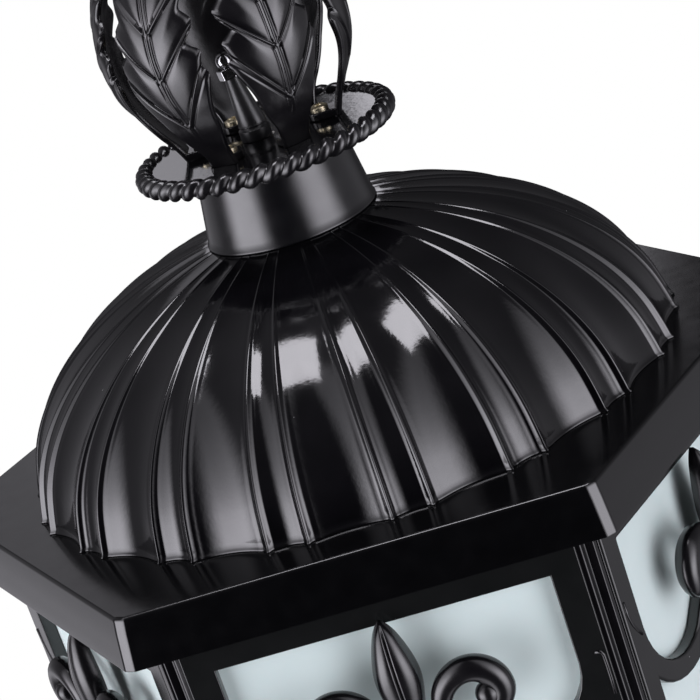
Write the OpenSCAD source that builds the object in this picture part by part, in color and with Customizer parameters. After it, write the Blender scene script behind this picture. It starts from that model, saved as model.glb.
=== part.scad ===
// Hexagonal outdoor pendant lantern: fluted dome on a hexagonal eave, a crown of leaves on a rope-edged
// flange, glazed sides with fleur-de-lis castings, hung from a ring. Millimetres, +Z up.
// The origin is the point of the ring that bears on a hook, and the lantern hangs below it.

/* [Eave] */
// Distance from the axis to a corner of the eave's top edge
eave_r = 185; // [180:1:200]
// Height of the eave's skirt
eave_h = 21; // [18:1:26]
// How far the skirt flares out at its lower corners
eave_flare = 4; // [2:0.5:6]
// Wall of the eave casting
eave_wall = 3; // [2.5:0.5:4]
// Width of the flat that cuts each corner of the skirt
eave_corner = 5; // [3:0.5:8]
// Radius of the opening between the dome and the lantern's chamber
eave_hole_r = 60; // [50:1:66]

/* [Dome] */
// Radius of the dome at its foot, over the rib edges
dome_r = 141; // [130:1:148]
// Height of the dome from the eave to the collar
dome_h = 83; // [70:1:100]
// Wall of the dome at the bottom of a wide flute
dome_wall = 3.5; // [3:0.5:5]
// Number of ribs, each between two wide flutes
rib_count = 18; // [12:1:20]
// Part of each rib spacing that the narrow rib takes
rib_share = 0.33; // [0.25:0.01:0.4]
// Depth of a wide flute at the foot
flute_depth = 4.2; // [2:0.2:5]
// Depth of the narrow channel along a rib at the foot
rib_depth = 2.4; // [1:0.2:3]

/* [Collar and flange] */
// Radius of the collar where it stands on the dome
collar_r = 36.6; // [32:0.2:38]
// Radius of the collar under the flange
collar_top_r = 31.6; // [26:0.2:34]
// Height of the collar
collar_h = 34; // [25:1:45]
// Wall of the collar
collar_wall = 3; // [2:0.5:4]
// Thickness of the flange
flange_t = 4; // [3:0.5:6]
// Radius of the middle of the rope edge
rope_ring_r = 52; // [50:0.5:58]
// Radius of the rope
rope_r = 4.4; // [3.6:0.2:5]
// Number of turns in the rope edge
rope_turns = 45; // [36:1:50]

/* [Crown] */
// Height of a leaf from the flange to the crown's cap
leaf_h = 104; // [96:1:120]
// Thickness of a leaf's blade
leaf_t = 3.2; // [2.5:0.1:4]
// Half width of a leaf at its widest
leaf_half_w = 20; // [17:0.5:23]
// Largest distance from the axis to the face of a leaf
leaf_belly_r = 51; // [47:0.5:56]
// Distance from the axis to the face of a leaf's stalk
leaf_foot_r = 34; // [32:0.5:38]
// Distance from the axis to the face of a leaf under the cap
leaf_top_r = 28.5; // [26:0.5:30]
// Height of the veins above the blade
vein_h = 1.1; // [0.6:0.1:1.4]
// Width of a leaf's foot
foot_w = 12; // [10:0.5:14]
// Thickness of a leaf's foot
foot_t = 3.5; // [3:0.5:5]
// Distance from the axis to a foot's screw
foot_screw_r = 25.5; // [24:0.5:27]
// Radius of the crown's cap
cap_r = 31; // [31:0.5:36]
// Thickness of the crown's cap at its edge
cap_t = 4; // [3:0.5:6]

/* [Stem in the crown] */
// Radius of the plinth under the cone
plinth_r = 7; // [6.5:0.1:9]
// Height of the plinth
plinth_h = 7; // [4:0.5:9]
// Radius of the cone at its foot
cone_r = 5.9; // [5:0.1:6.2]
// Radius of the cone at its top
cone_top_r = 3.2; // [2.5:0.1:4]
// Length of the cone
cone_h = 20.5; // [16:0.5:26]
// Lean of the cone, in degrees
cone_lean = 5.5; // [0:0.5:8]
// Distance across the flats of the stem's nut
stem_nut_af = 9; // [7:0.5:12]
// Thickness of the stem's nut
stem_nut_h = 4.5; // [3:0.5:6]
// Radius of the ball that ends the stem
stem_ball_r = 3.7; // [3:0.1:5]

/* [Hanging eye and ring] */
// Radius of the ring's middle line
ring_r = 26; // [22:1:34]
// Radius of the ring's bar
ring_bar_r = 4; // [3:0.5:4.5]
// Running clearance between the bar and the eye's hole
eye_clearance = 0.8; // [0.5:0.1:1]
// Thickness of the eye
eye_t = 8; // [6:0.5:10]
// Metal round the eye's hole
eye_rim = 5.2; // [4:0.2:7]
// Height of the hole's middle above the cap
eye_rise = 17; // [16:1:24]
// Radius of the eye's stud
stud_r = 4; // [3:0.5:5]

/* [Sides] */
// How far the outer face of a side frame stands back from the eave's top edge
side_inset = 13.2; // [10:0.2:20]
// Height of the sides under the eave's plate
side_h = 197; // [170:1:230]
// Thickness of a side frame
frame_t = 6; // [5:0.5:8]
// Half width of the flat that cuts each corner of the body
corner_half = 5.55; // [4:0.05:7]
// Width of the upright beside a glass opening
stile_w = 12; // [10:0.5:14]
// Depth of the top rail under the eave's plate
top_rail_h = 34.5; // [28:0.5:40]
// Depth of the bottom rail
bottom_rail_h = 12; // [10:0.5:18]
// Radius of the rounded lower corner of the upper glass opening
arm_r = 26.5; // [22:0.5:28]
// Thickness of the curved arm that carries the ornament
arm_t = 9.5; // [7:0.5:12]
// Height of the arm's centre below the eave's top
arm_z = 76; // [72:1:80]
// Half width of the pad that the ornament is fixed to
pad_half = 9; // [8:0.5:11]
// Depth of the groove down each corner post
groove_depth = 3; // [1:0.5:3.5]
// Half width of the groove down each corner post
groove_half = 2.8; // [1:0.1:3.4]
// Thickness of the glass
glass_t = 4; // [3:0.5:5]
// Width of glass held behind the frame
glass_lap = 3.5; // [2:0.5:5]

/* [Ornament] */
// Height of the middle petal's tip below the eave's top
petal_tip_z = 34; // [32:0.5:38]
// Half width of the middle petal
petal_half = 9; // [7:0.5:11]
// How far the ornament's back stands off the frame
ornament_gap = 3; // [2:0.5:5]
// Radius of the bar that forms a scroll
scroll_bar_r = 5.2; // [4:0.2:6]
// Radius of a scroll's middle line
scroll_r = 10.3; // [9:0.1:12]
// Distance from the middle to the centre of a scroll
scroll_x = 26; // [24:0.5:28]
// Height of a scroll's centre below the eave's top
scroll_z = 72; // [70:0.5:74]
// Radius of the ball in the eye of a scroll
scroll_eye_r = 6.4; // [6:0.1:7]

/* [Lamp] */
// Outer radius of the threaded tube
tube_r = 5; // [4:0.5:6]
// Wall of the threaded tube
tube_wall = 1.2; // [1:0.1:1.5]
// Outer radius of the lampholder
holder_r = 18; // [16:0.5:22]
// Wall of the lampholder
holder_wall = 4; // [3:0.5:5]
// Height of the lampholder
holder_h = 44; // [38:1:50]
// Radius of the bulb's globe
bulb_r = 30; // [24:1:36]

/* [Base] */
// Thickness of the base plate
base_t = 4; // [3:0.5:6]
// How far the base plate stands out past the sides
base_lip = 7; // [4:0.5:12]
// Radius of the boss under the base plate
boss_r = 58; // [48:1:70]
// Height of the boss
boss_h = 30; // [24:1:40]
// Radius of the finial's ball
finial_r = 15; // [12:0.5:20]
// Length of the finial below the boss
finial_h = 52; // [44:1:64]

/* [Screws] */
// Radius of the screws' shanks
screw_r = 2; // [1.5:0.1:2.2]
// Radius of the screws' heads
screw_head_r = 3.8; // [3:0.1:4.4]
// Height of the screws' heads
screw_head_h = 2.4; // [1.8:0.1:3]

/* [Hidden] */

sides = 6;
leaf_count = 6;
side_step = 360 / sides;
half_step = side_step / 2;
side_apothem = eave_r * cos(half_step) - side_inset;

// Heights, measured from the top of the eave
collar_z = dome_h;
flange_z = collar_z + collar_h;
flange_top = flange_z + flange_t;
cap_z = flange_top + leaf_h;
cap_top = cap_z + cap_t + 4;
axis_z = cap_top + eye_rise;
hook_z = axis_z + 2 * ring_r - ring_bar_r;
sides_bottom = -eave_wall - side_h;
boss_z = sides_bottom - base_t;
finial_z = boss_z - boss_h;

// Colours
black_gloss = [0.03, 0.03, 0.035];
black_satin = [0.07, 0.07, 0.075];
zinc = [0.75, 0.73, 0.66];
frosted = [0.8, 0.87, 0.85];
porcelain = [0.92, 0.92, 0.9];
brass = [0.78, 0.62, 0.32];

// A point of the unit circle, scaled
function polar(r, a) = [r * cos(a), r * sin(a)];

// Points of an arc, from one angle to another
function arc(centre, r, a0, a1, n) =
    [for (i = [0 : n]) centre + polar(r, a0 + (a1 - a0) * i / n)];

// Smooth step from 0 to 1
function smooth(x) = let (t = max(0, min(1, x))) t * t * (3 - 2 * t);

// A list, flattened by one level
function flat(lists) = [for (l = lists) each l];

// Everything hangs below the hook point
module hung() {
    translate([0, 0, -hook_z]) children();
}

module ring(outer, inner, h) {
    difference() {
        cylinder(r = outer, h = h, $fn = 96);
        translate([0, 0, -1]) cylinder(r = inner, h = h + 2, $fn = 96);
    }
}

module hex_prism(apothem, h) {
    cylinder(r = apothem / cos(half_step), h = h, $fn = 6);
}

module nut(af, bore_r, h) {
    difference() {
        hex_prism(af / 2, h);
        translate([0, 0, -1]) cylinder(r = bore_r, h = h + 2, $fn = 48);
    }
}

// A pan-head screw that points down, with its head's seat at z = 0
module pan_screw(length) {
    difference() {
        union() {
            cylinder(r = screw_r, h = 2 * length, center = true, $fn = 32);
            intersection() {
                cylinder(r = screw_head_r, h = screw_head_h, $fn = 48);
                translate([0, 0, screw_head_h - 2 * screw_head_r]) sphere(r = 2 * screw_head_r, $fn = 64);
            }
        }
        translate([0, 0, length + screw_head_h]) cube([3 * screw_head_r, 3 * screw_head_r, 2 * length], true);
        for (a = [0, 90])
            rotate(a) translate([0, 0, screw_head_h]) cube([1.2 * screw_head_r, 0.8, 2.2], true);
    }
}

// The ring that the lantern hangs from. Its lowest stretch passes through the eye.
module hanging_ring() {
    color(black_gloss) hung() translate([0, 0, axis_z + ring_r])
        rotate([90, 0, 0]) rotate_extrude($fn = 96) translate([ring_r, 0]) circle(r = ring_bar_r, $fn = 32);
}

eye_hole_r = ring_bar_r + eye_clearance;
eye_r = eye_hole_r + eye_rim;
eye_base_r = eye_r + 3;
stud_len = cap_t + 4 + 9;

// The cast eye: a rounded tongue with a hole along X, on a round foot with a stud below
module top_eye() {
    color(black_gloss) hung() difference() {
        union() {
            translate([-eye_t / 2, 0, axis_z]) rotate([0, 90, 0]) cylinder(r = eye_r, h = eye_t, $fn = 64);
            translate([-eye_t / 2, -eye_r, cap_top + 1]) cube([eye_t, 2 * eye_r, eye_rise - 1]);
            translate([0, 0, cap_top]) cylinder(r = eye_base_r, h = 3, $fn = 64);
            translate([0, 0, cap_top - stud_len]) cylinder(r = stud_r, h = stud_len + 1, $fn = 48);
        }
        translate([-eye_t, 0, axis_z]) rotate([0, 90, 0]) cylinder(r = eye_hole_r, h = 2 * eye_t, $fn = 64);
    }
}

module eye_nut() {
    color(zinc) hung() translate([0, 0, cap_z - 5]) nut(13, stud_r, 5);
}

// The cap that closes the crown over the leaves' tips
module crown_cap() {
    color(black_gloss) hung() difference() {
        union() {
            translate([0, 0, cap_z]) cylinder(r = cap_r, h = cap_t, $fn = 96);
            translate([0, 0, cap_z + cap_t]) cylinder(r1 = cap_r - 2, r2 = eye_base_r + 1, h = 4, $fn = 96);
        }
        translate([0, 0, cap_z - 1]) cylinder(r = stud_r, h = cap_t + 6, $fn = 48);
    }
}

// The leaf, as rows of points. A row is a chevron: it crosses the midrib low and meets the edge higher up,
// along the direction of the veins. Each lobe runs from one vein to the next.
// Where the veins leave the midrib and where they reach the edge, as shares of the leaf's height
vein_low = [0.21, 0.42, 0.6, 0.755, 0.88];
vein_high = [0.43, 0.6, 0.755, 0.88, 0.96];
lobe_rows = [0, 0.12, 0.36, 0.6, 0.86];
leaf_columns = [-1, -0.56, -0.1, 0, 0.1, 0.56, 1];
stalk_half = foot_w / 2 - 0.6;
leaf_tip_half = 6;
widest = 0.4;
belly_share = 0.46;

// Distance from the axis to the leaf's face at a share of its height
function shoulder(v) = sqrt(1 - pow((v - belly_share) / (1.03 - belly_share), 2.6));
function leaf_face_r(v) =
    v < belly_share
        ? leaf_foot_r + (leaf_belly_r - leaf_foot_r) * sin(90 * v / belly_share)
        : leaf_top_r + (leaf_belly_r - leaf_top_r) * (shoulder(v) - shoulder(1)) / (1 - shoulder(1));

// Half width of the leaf's smooth outline
function leaf_width(v) =
    v < widest
        ? stalk_half + (leaf_half_w - stalk_half) * pow(v / widest, 1.1)
        : leaf_half_w + (leaf_tip_half - leaf_half_w) * pow((v - widest) / (1 - widest), 2.4);

// A row: where it crosses the midrib, where it meets the edge, its place in its lobe
function lobe_row(k, f) =
    let (low0 = vein_low[k], high0 = vein_high[k],
         low1 = k + 1 < len(vein_low) ? vein_low[k + 1] : 0.97,
         high1 = k + 1 < len(vein_low) ? vein_high[k + 1] : 0.985)
    [low0 + (low1 - low0) * f, high0 + (high1 - high0) * f, f];
leaf_rows = concat(
    [[0.012, 0.012, 0.5], [0.07, 0.08, 0.5], [0.12, 0.2, 0.5], [0.17, 0.34, 0.5], [0.19, 0.4, 0.86]],
    flat([for (k = [0 : len(vein_low) - 1]) [for (f = lobe_rows) lobe_row(k, f)]]),
    [[1, 1, 0.5]]);

// The notch in the outline between the ends of two veins
function notch(f) = 1 - 0.2 * max(0, 1 - abs(f - 0.6) / 0.24);

// How far the face is raised: at the midrib, at a vein, and over a lobe's belly
function relief(f, u, w) =
    let (edge = 1 - abs(u), slim = smooth((w - stalk_half) / 4))
    (abs(u) < 0.05 ? vein_h : 0) * (0.4 + 0.6 * slim)
    + (f < 0.05 && abs(u) > 0.05 ? vein_h * slim : 0)
    + (f > 0.3 && f < 0.7 ? 0.5 * vein_h * slim * sin(180 * edge) : 0);

// A point of the leaf, on the face for depth 0 and behind it for a positive depth
function leaf_point(row, u, depth, raised) =
    let (v = row[0] + (row[1] - row[0]) * abs(u),
         w = leaf_width(v) * (row[0] > 0.2 && row[0] < 0.99 ? 1 + (notch(row[2]) - 1) * abs(u) : 1),
         r = leaf_face_r(v) - depth + (raised ? relief(row[2], u, w) : 0),
         bend = 0.83 * leaf_belly_r,
         a = u * w / bend * 180 / PI)
    [r - bend * (1 - cos(a)), (bend - depth) * sin(a), leaf_h * v];

module leaf_blade() {
    rows = len(leaf_rows);
    cols = len(leaf_columns);
    front = [for (row = leaf_rows) for (u = leaf_columns) leaf_point(row, u, 0, true)];
    back = [for (row = leaf_rows) for (u = [-1, 0, 1]) leaf_point(row, u, leaf_t, false)];
    nf = rows * cols;
    last = rows - 1;
    function f(i, j) = i * cols + j;
    function b(i, j) = nf + i * 3 + j;
    face_front = flat([for (i = [0 : rows - 2]) flat([for (j = [0 : cols - 2])
        [[f(i, j), f(i + 1, j), f(i, j + 1)], [f(i, j + 1), f(i + 1, j), f(i + 1, j + 1)]]])]);
    face_back = flat([for (i = [0 : rows - 2]) flat([for (j = [0 : 1])
        [[b(i, j), b(i, j + 1), b(i + 1, j)], [b(i, j + 1), b(i + 1, j + 1), b(i + 1, j)]]])]);
    rim = flat([for (i = [0 : rows - 2])
        [[f(i, 0), b(i, 0), f(i + 1, 0)], [b(i, 0), b(i + 1, 0), f(i + 1, 0)],
         [f(i, cols - 1), f(i + 1, cols - 1), b(i, 2)], [b(i, 2), f(i + 1, cols - 1), b(i + 1, 2)]]]);
    foot = [concat([for (j = [0 : cols - 1]) f(0, j)], [b(0, 2), b(0, 1), b(0, 0)])];
    top = [concat([for (j = [cols - 1 : -1 : 0]) f(last, j)], [b(last, 0), b(last, 1), b(last, 2)])];
    polyhedron(points = concat(front, back), faces = concat(face_front, face_back, rim, foot, top),
               convexity = 6);
}

// One leaf with its foot, which a screw holds to the flange. The foot ends in a toe in front of the stalk.
toe = 3;
module leaf(k) {
    color(black_gloss) hung() translate([0, 0, flange_top]) rotate(k * 360 / leaf_count) difference() {
        union() {
            leaf_blade();
            translate([foot_screw_r, -foot_w / 2, 0])
                cube([leaf_foot_r + toe - foot_screw_r, foot_w, foot_t]);
            translate([foot_screw_r, 0, 0]) cylinder(r = foot_w / 2, h = foot_t, $fn = 48);
        }
        translate([foot_screw_r, 0, -1]) cylinder(r = screw_r, h = foot_t + 2, $fn = 32);
    }
}

module leaf_1() { leaf(0); }
module leaf_2() { leaf(1); }
module leaf_3() { leaf(2); }
module leaf_4() { leaf(3); }
module leaf_5() { leaf(4); }
module leaf_6() { leaf(5); }

leaf_screw_len = foot_t + flange_t - 0.5;

module leaf_screws() {
    color(zinc) hung() for (k = [0 : leaf_count - 1])
        rotate(k * 360 / leaf_count) translate([foot_screw_r, 0, flange_top + foot_t])
            pan_screw(leaf_screw_len);
}

// The flange's section at one angle round the rim, from the flat's edge over the rope and back below.
// The rope's strands wind round it, so that each bulge slants.
rope_steps = 4;
rope_sides = [140, 95, 50, 5, -40, -85, -130];
strand_depth = 0.26;
function strand(phase) = 1 - strand_depth * (1 - abs(cos(phase / 2)));
function rope_point(a, side) =
    let (r = rope_r * strand(rope_turns * a - 1.6 * side), p = polar(r, side))
    [(rope_ring_r + p[0]) * cos(a), (rope_ring_r + p[0]) * sin(a), flange_z + flange_t / 2 + p[1]];
flat_r = rope_ring_r - rope_r + 0.2;

module rope_body() {
    n = rope_turns * rope_steps;
    m = len(rope_sides) + 2;
    points = flat([for (i = [0 : n - 1]) let (a = i * 360 / n)
        concat([[flat_r * cos(a), flat_r * sin(a), flange_top]],
               [for (s = rope_sides) rope_point(a, s)],
               [[flat_r * cos(a), flat_r * sin(a), flange_z]])]);
    function q(i, j) = (i % n) * m + j;
    skin = flat([for (i = [0 : n - 1]) flat([for (j = [0 : m - 2])
        [[q(i, j), q(i, j + 1), q(i + 1, j)], [q(i, j + 1), q(i + 1, j + 1), q(i + 1, j)]]])]);
    upper = [[for (i = [n - 1 : -1 : 0]) q(i, 0)]];
    lower = [[for (i = [0 : n - 1]) q(i, m - 1)]];
    polyhedron(points = points, faces = concat(skin, upper, lower), convexity = 4);
}

module rope_flange() {
    color(black_gloss) hung() difference() {
        rope_body();
        translate([0, 0, flange_z - 1]) cylinder(r = tube_r, h = flange_t + 2, $fn = 48);
        for (k = [0 : leaf_count - 1])
            rotate(k * 360 / leaf_count) translate([foot_screw_r, 0, flange_z - 1])
                cylinder(r = screw_r, h = flange_t + 2, $fn = 32);
    }
}

// The stem in the crown leans a little, as it does in the photo
cone_x = -2.6;
module leaning() {
    translate([cone_x, 0, flange_top + plinth_h]) rotate([0, -cone_lean, 0]) children();
}

// A cone on a low round plinth, cast in one
module stem_cone() {
    sunk = 2;
    color(black_satin) hung() union() {
        leaning() translate([0, 0, -sunk])
            cylinder(r1 = cone_r, r2 = cone_top_r, h = cone_h + sunk, $fn = 64);
        translate([cone_x, 0, flange_top]) cylinder(r = plinth_r, h = plinth_h, $fn = 64);
    }
}

module stem_nut() {
    color(black_satin) hung() leaning() translate([0, 0, cone_h]) hex_prism(stem_nut_af / 2, stem_nut_h);
}

module stem_ball() {
    sunk = 0.8;
    color(black_gloss) hung() leaning() difference() {
        translate([0, 0, cone_h + stem_nut_h + stem_ball_r - sunk]) sphere(r = stem_ball_r, $fn = 64);
        translate([0, 0, cone_h + stem_nut_h - 10]) cube([20, 20, 20], true);
    }
}

// The collar between the dome and the flange: a tapered cup, open below, with a fine bead at its foot
module collar() {
    bead = 1.2;
    color(black_satin) hung() translate([0, 0, collar_z]) difference() {
        cylinder(r1 = collar_r, r2 = collar_top_r, h = collar_h, $fn = 128);
        translate([0, 0, -bead])
            cylinder(r1 = collar_r - collar_wall, r2 = collar_top_r - collar_wall, h = collar_h - collar_wall,
                     $fn = 128);
        translate([0, 0, -1]) cylinder(r = tube_r, h = collar_h + 2, $fn = 48);
    }
}

// The dome's outline is a flattened ellipse, cut off where the collar stands
dome_neck_r = collar_r + 1.4;
dome_rows = 12;
dome_top_angle = acos(dome_neck_r / dome_r);
dome_power = 1.05;
dome_full_h = dome_h / pow(sin(dome_top_angle), dome_power);
function dome_outer(i) =
    let (t = dome_top_angle * i / dome_rows) [dome_r * cos(t), dome_full_h * pow(sin(t), dome_power)];

// Points round one rib spacing, from -0.5 to 0.5 of it, with the depth of the skin below the rib edges
narrow = rib_share / 2;
wide = 0.5 - narrow;
dome_section = [[-narrow, 0], [-0.5 * narrow, rib_depth], [0.5 * narrow, rib_depth], [narrow, 0],
                [narrow + 0.25 * wide, 0.62 * flute_depth], [narrow + 0.72 * wide, flute_depth],
                [1 - narrow - 0.72 * wide, flute_depth], [1 - narrow - 0.25 * wide, 0.62 * flute_depth]];
inner_per_rib = 2;
inner_every = len(dome_section) / inner_per_rib;

module dome_shell() {
    m = len(dome_section);
    n = rib_count * m;
    ni = rib_count * inner_per_rib;
    rib = 360 / rib_count;
    outer = flat([for (i = [0 : dome_rows]) let (p = dome_outer(i), fade = p[0] / dome_r)
        [for (k = [0 : rib_count - 1]) for (s = dome_section)
            let (a = (k + s[0]) * rib, r = p[0] - s[1] * fade) [r * cos(a), r * sin(a), p[1]]]]);
    inner_rows = dome_rows / 2;
    inner = flat([for (i = [0 : inner_rows])
        let (p = dome_outer(2 * i), fade = p[0] / dome_r,
             r = p[0] - flute_depth * fade - dome_wall,
             dropped = max(0, p[1] - dome_wall * sin(dome_top_angle * i / inner_rows)),
             z = i == 0 ? 0 : i == inner_rows ? dome_h : dropped)
        [for (k = [0 : ni - 1]) let (a = (k / inner_per_rib - narrow) * rib) [r * cos(a), r * sin(a), z]]]);
    no = (dome_rows + 1) * n;
    function o(i, j) = i * n + (j % n);
    function q(i, j) = no + i * ni + (j % ni);
    skin = flat([for (i = [0 : dome_rows - 1]) flat([for (j = [0 : n - 1])
        [[o(i, j), o(i + 1, j), o(i, j + 1)], [o(i, j + 1), o(i + 1, j), o(i + 1, j + 1)]]])]);
    lining = flat([for (i = [0 : inner_rows - 1]) flat([for (j = [0 : ni - 1])
        [[q(i, j), q(i, j + 1), q(i + 1, j)], [q(i, j + 1), q(i + 1, j + 1), q(i + 1, j)]]])]);
    foot = [for (j = [0 : ni - 1])
        concat([q(0, j + 1), q(0, j)], [for (s = [0 : inner_every]) o(0, j * inner_every + s)])];
    neck = [for (j = [0 : ni - 1])
        concat([q(inner_rows, j), q(inner_rows, j + 1)],
               [for (s = [inner_every : -1 : 0]) o(dome_rows, j * inner_every + s)])];
    polyhedron(points = concat(outer, inner), faces = concat(skin, lining, foot, neck), convexity = 6);
}

module dome() {
    color(black_gloss) hung() dome_shell();
}

// The eave: a hexagonal cap with a flared skirt, its corners cut by a narrow flat and its top edge rounded
module eave_solid(inset, z0, z1) {
    flare = eave_flare / eave_h;
    cut = eave_corner / 2 * tan(half_step);
    r0 = eave_r - inset / cos(half_step) - z0 * flare;
    r1 = r0 - (z1 - z0) * flare;
    translate([0, 0, z0]) intersection() {
        linear_extrude(height = z1 - z0, scale = r1 / r0) circle(r = r0, $fn = 6);
        rotate(half_step) linear_extrude(height = z1 - z0, scale = r1 / r0)
            circle(r = (r0 - cut) / cos(half_step), $fn = 6);
    }
}

module eave() {
    step = 1.2;
    color(black_gloss) hung() difference() {
        union() {
            eave_solid(0, -eave_h, -step);
            eave_solid(step, -step - 0.5, 0);
        }
        eave_solid(eave_wall, -eave_h - 1, -eave_wall);
        translate([0, 0, -eave_wall - 1]) cylinder(r = eave_hole_r, h = eave_wall + 2, $fn = 96);
        for (k = [0 : sides - 1]) rotate(k * side_step) translate([head_screw_r, 0, -eave_wall - 1])
            cylinder(r = screw_r, h = eave_wall, $fn = 32);
    }
}

// The rod that clamps the flange, collar, dome and eave together and carries the lampholder
bracket_t = 3;
tube_nut_h = 6;
tube_bottom = -eave_wall - bracket_t - tube_nut_h - 22;
module threaded_tube() {
    color(zinc) hung() translate([0, 0, tube_bottom])
        ring(tube_r, tube_r - tube_wall, flange_top - tube_bottom);
}

module holder_bracket() {
    length = 2 * eave_hole_r + 22;
    width = 20;
    color(zinc) hung() difference() {
        translate([0, 0, -eave_wall - bracket_t / 2]) cube([length, width, bracket_t], true);
        translate([0, 0, -eave_wall - bracket_t - 1]) cylinder(r = tube_r, h = bracket_t + 2, $fn = 48);
    }
}

module tube_nut() {
    color(zinc) hung() translate([0, 0, -eave_wall - bracket_t - tube_nut_h]) nut(17, tube_r, tube_nut_h);
}

// The glazed body of the lampholder: a cup with a sloping shoulder, whose roof takes the tube's end
tube_grip = 10;
shoulder_h = 8;
shoulder_in = 6;
roof_t = 14;
holder_top = tube_bottom + tube_grip;
module lampholder_body() {
    color(porcelain) hung() difference() {
        union() {
            translate([0, 0, holder_top - holder_h])
                cylinder(r = holder_r, h = holder_h - shoulder_h, $fn = 96);
            translate([0, 0, holder_top - shoulder_h])
                cylinder(r1 = holder_r, r2 = holder_r - shoulder_in, h = shoulder_h, $fn = 96);
        }
        translate([0, 0, tube_bottom]) cylinder(r = tube_r, h = 2 * tube_grip, $fn = 48);
        translate([0, 0, holder_top - holder_h - 1])
            cylinder(r = holder_r - holder_wall, h = holder_h - roof_t + 1, $fn = 96);
    }
}

shell_t = 0.7;
contact_r = 4;
shell_hole_r = contact_r + 2;
shell_r = holder_r - holder_wall;
shell_top = holder_top - roof_t;
shell_h = holder_h - roof_t - 3;
module lampholder_shell() {
    color(brass) hung() difference() {
        translate([0, 0, shell_top - shell_h]) cylinder(r = shell_r, h = shell_h, $fn = 96);
        translate([0, 0, shell_top - shell_h - 1])
            cylinder(r = shell_r - shell_t, h = shell_h + 1 - shell_t, $fn = 96);
        translate([0, 0, shell_top - 2]) cylinder(r = shell_hole_r, h = 4, $fn = 48);
    }
}

// The contact hangs from the holder's ceiling, through the shell's hole, and meets the bulb's tip
contact_h = 3.4;
module lampholder_contact() {
    color(brass) hung() translate([0, 0, shell_top - contact_h])
        cylinder(r = contact_r, h = contact_h, $fn = 48);
}

// The bulb: a screw cap and an opal globe with a tapered neck
bulb_cap_r = shell_r - shell_t;
bulb_cap_top = shell_top - contact_h;
module bulb() {
    cap_h = bulb_cap_top - (holder_top - holder_h) + 1;
    globe_z = bulb_cap_top - cap_h - bulb_r - 16;
    color(porcelain) hung() union() {
        translate([0, 0, bulb_cap_top - 3]) cylinder(r1 = 9, r2 = 4, h = 3, $fn = 64);
        translate([0, 0, bulb_cap_top - cap_h]) cylinder(r = bulb_cap_r, h = cap_h - 3, $fn = 96);
        translate([0, 0, globe_z])
            cylinder(r1 = 0.9 * bulb_r, r2 = bulb_cap_r - 0.6, h = bulb_cap_top - cap_h - globe_z + 1,
                     $fn = 96);
        translate([0, 0, globe_z]) sphere(r = bulb_r, $fn = 96);
    }
}

// Flat hexagonal rings inside the body, top and bottom, that tie the corner posts together
clamp_ring_t = 4;
inner_depth = frame_t + glass_t;
clamp_apothem = side_apothem - inner_depth;
clamp_hole_r = clamp_apothem - 17;
head_screw_r = clamp_apothem / cos(half_step) - 12;
module clamp_ring(z) {
    difference() {
        translate([0, 0, z]) hex_prism(clamp_apothem, clamp_ring_t);
        translate([0, 0, z - 1]) cylinder(r = clamp_hole_r, h = clamp_ring_t + 2, $fn = 128);
        for (k = [0 : sides - 1]) rotate(k * side_step) translate([head_screw_r, 0, z - 1])
            cylinder(r = screw_r, h = clamp_ring_t + 2, $fn = 32);
    }
}

module head_ring() { color(black_satin) hung() clamp_ring(-eave_wall - clamp_ring_t); }
module foot_ring() { color(black_satin) hung() clamp_ring(sides_bottom); }

module head_screws() {
    color(zinc) hung() for (k = [0 : sides - 1])
        rotate(k * side_step) translate([head_screw_r, 0, -eave_wall - clamp_ring_t])
            mirror([0, 0, 1]) pan_screw(clamp_ring_t + eave_wall - 1);
}

module foot_screws() {
    color(zinc) hung() for (k = [0 : sides - 1])
        rotate(k * side_step) translate([head_screw_r, 0, boss_z])
            mirror([0, 0, 1]) pan_screw(clamp_ring_t + base_t - 0.5);
}

// A corner post, seen from above with its corner towards +X. Distances along a side start at the corner.
corner_cut = corner_half / cos(half_step);
corner_x = side_apothem / cos(half_step);
wing = corner_cut + stile_w - glass_lap - 0.7;
function side_point(s, depth) =
    [corner_x, 0] + s * [-sin(half_step), cos(half_step)] - depth * [cos(half_step), sin(half_step)];

module post(k) {
    cut_x = side_point(corner_cut, 0)[0];
    half = [[cut_x, groove_half], side_point(corner_cut, 0), side_point(corner_cut, frame_t),
            side_point(wing, frame_t), side_point(wing, inner_depth)];
    other_half = [for (i = [len(half) - 1 : -1 : 0]) [half[i][0], -half[i][1]]];
    inner_corner = [(side_apothem - inner_depth) / cos(half_step), 0];
    groove_floor = [cut_x - groove_depth, 0];
    color(black_gloss) hung() rotate(k * side_step) translate([0, 0, sides_bottom])
        linear_extrude(height = side_h) polygon(concat([groove_floor], half, [inner_corner], other_half));
}

module post_1() { post(0); }
module post_2() { post(1); }
module post_3() { post(2); }
module post_4() { post(3); }
module post_5() { post(4); }
module post_6() { post(5); }

// A side frame lies in the plane of X and Z, with its middle at X = 0, and faces -Y
frame_half = side_apothem * tan(half_step) - corner_cut;
open_half = frame_half - stile_w;
opening_top = -eave_wall - top_rail_h;
opening_bottom = sides_bottom + bottom_rail_h;
arm_x = open_half - arm_r;
arm_meet = 118;
arm_low_r = arm_r + arm_t;
arm_start = acos(arm_r / arm_low_r);
pad_top = -arm_z - 8;
pad_bottom = -arm_z - arm_low_r * 0.85;
corner_round = 8;

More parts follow.
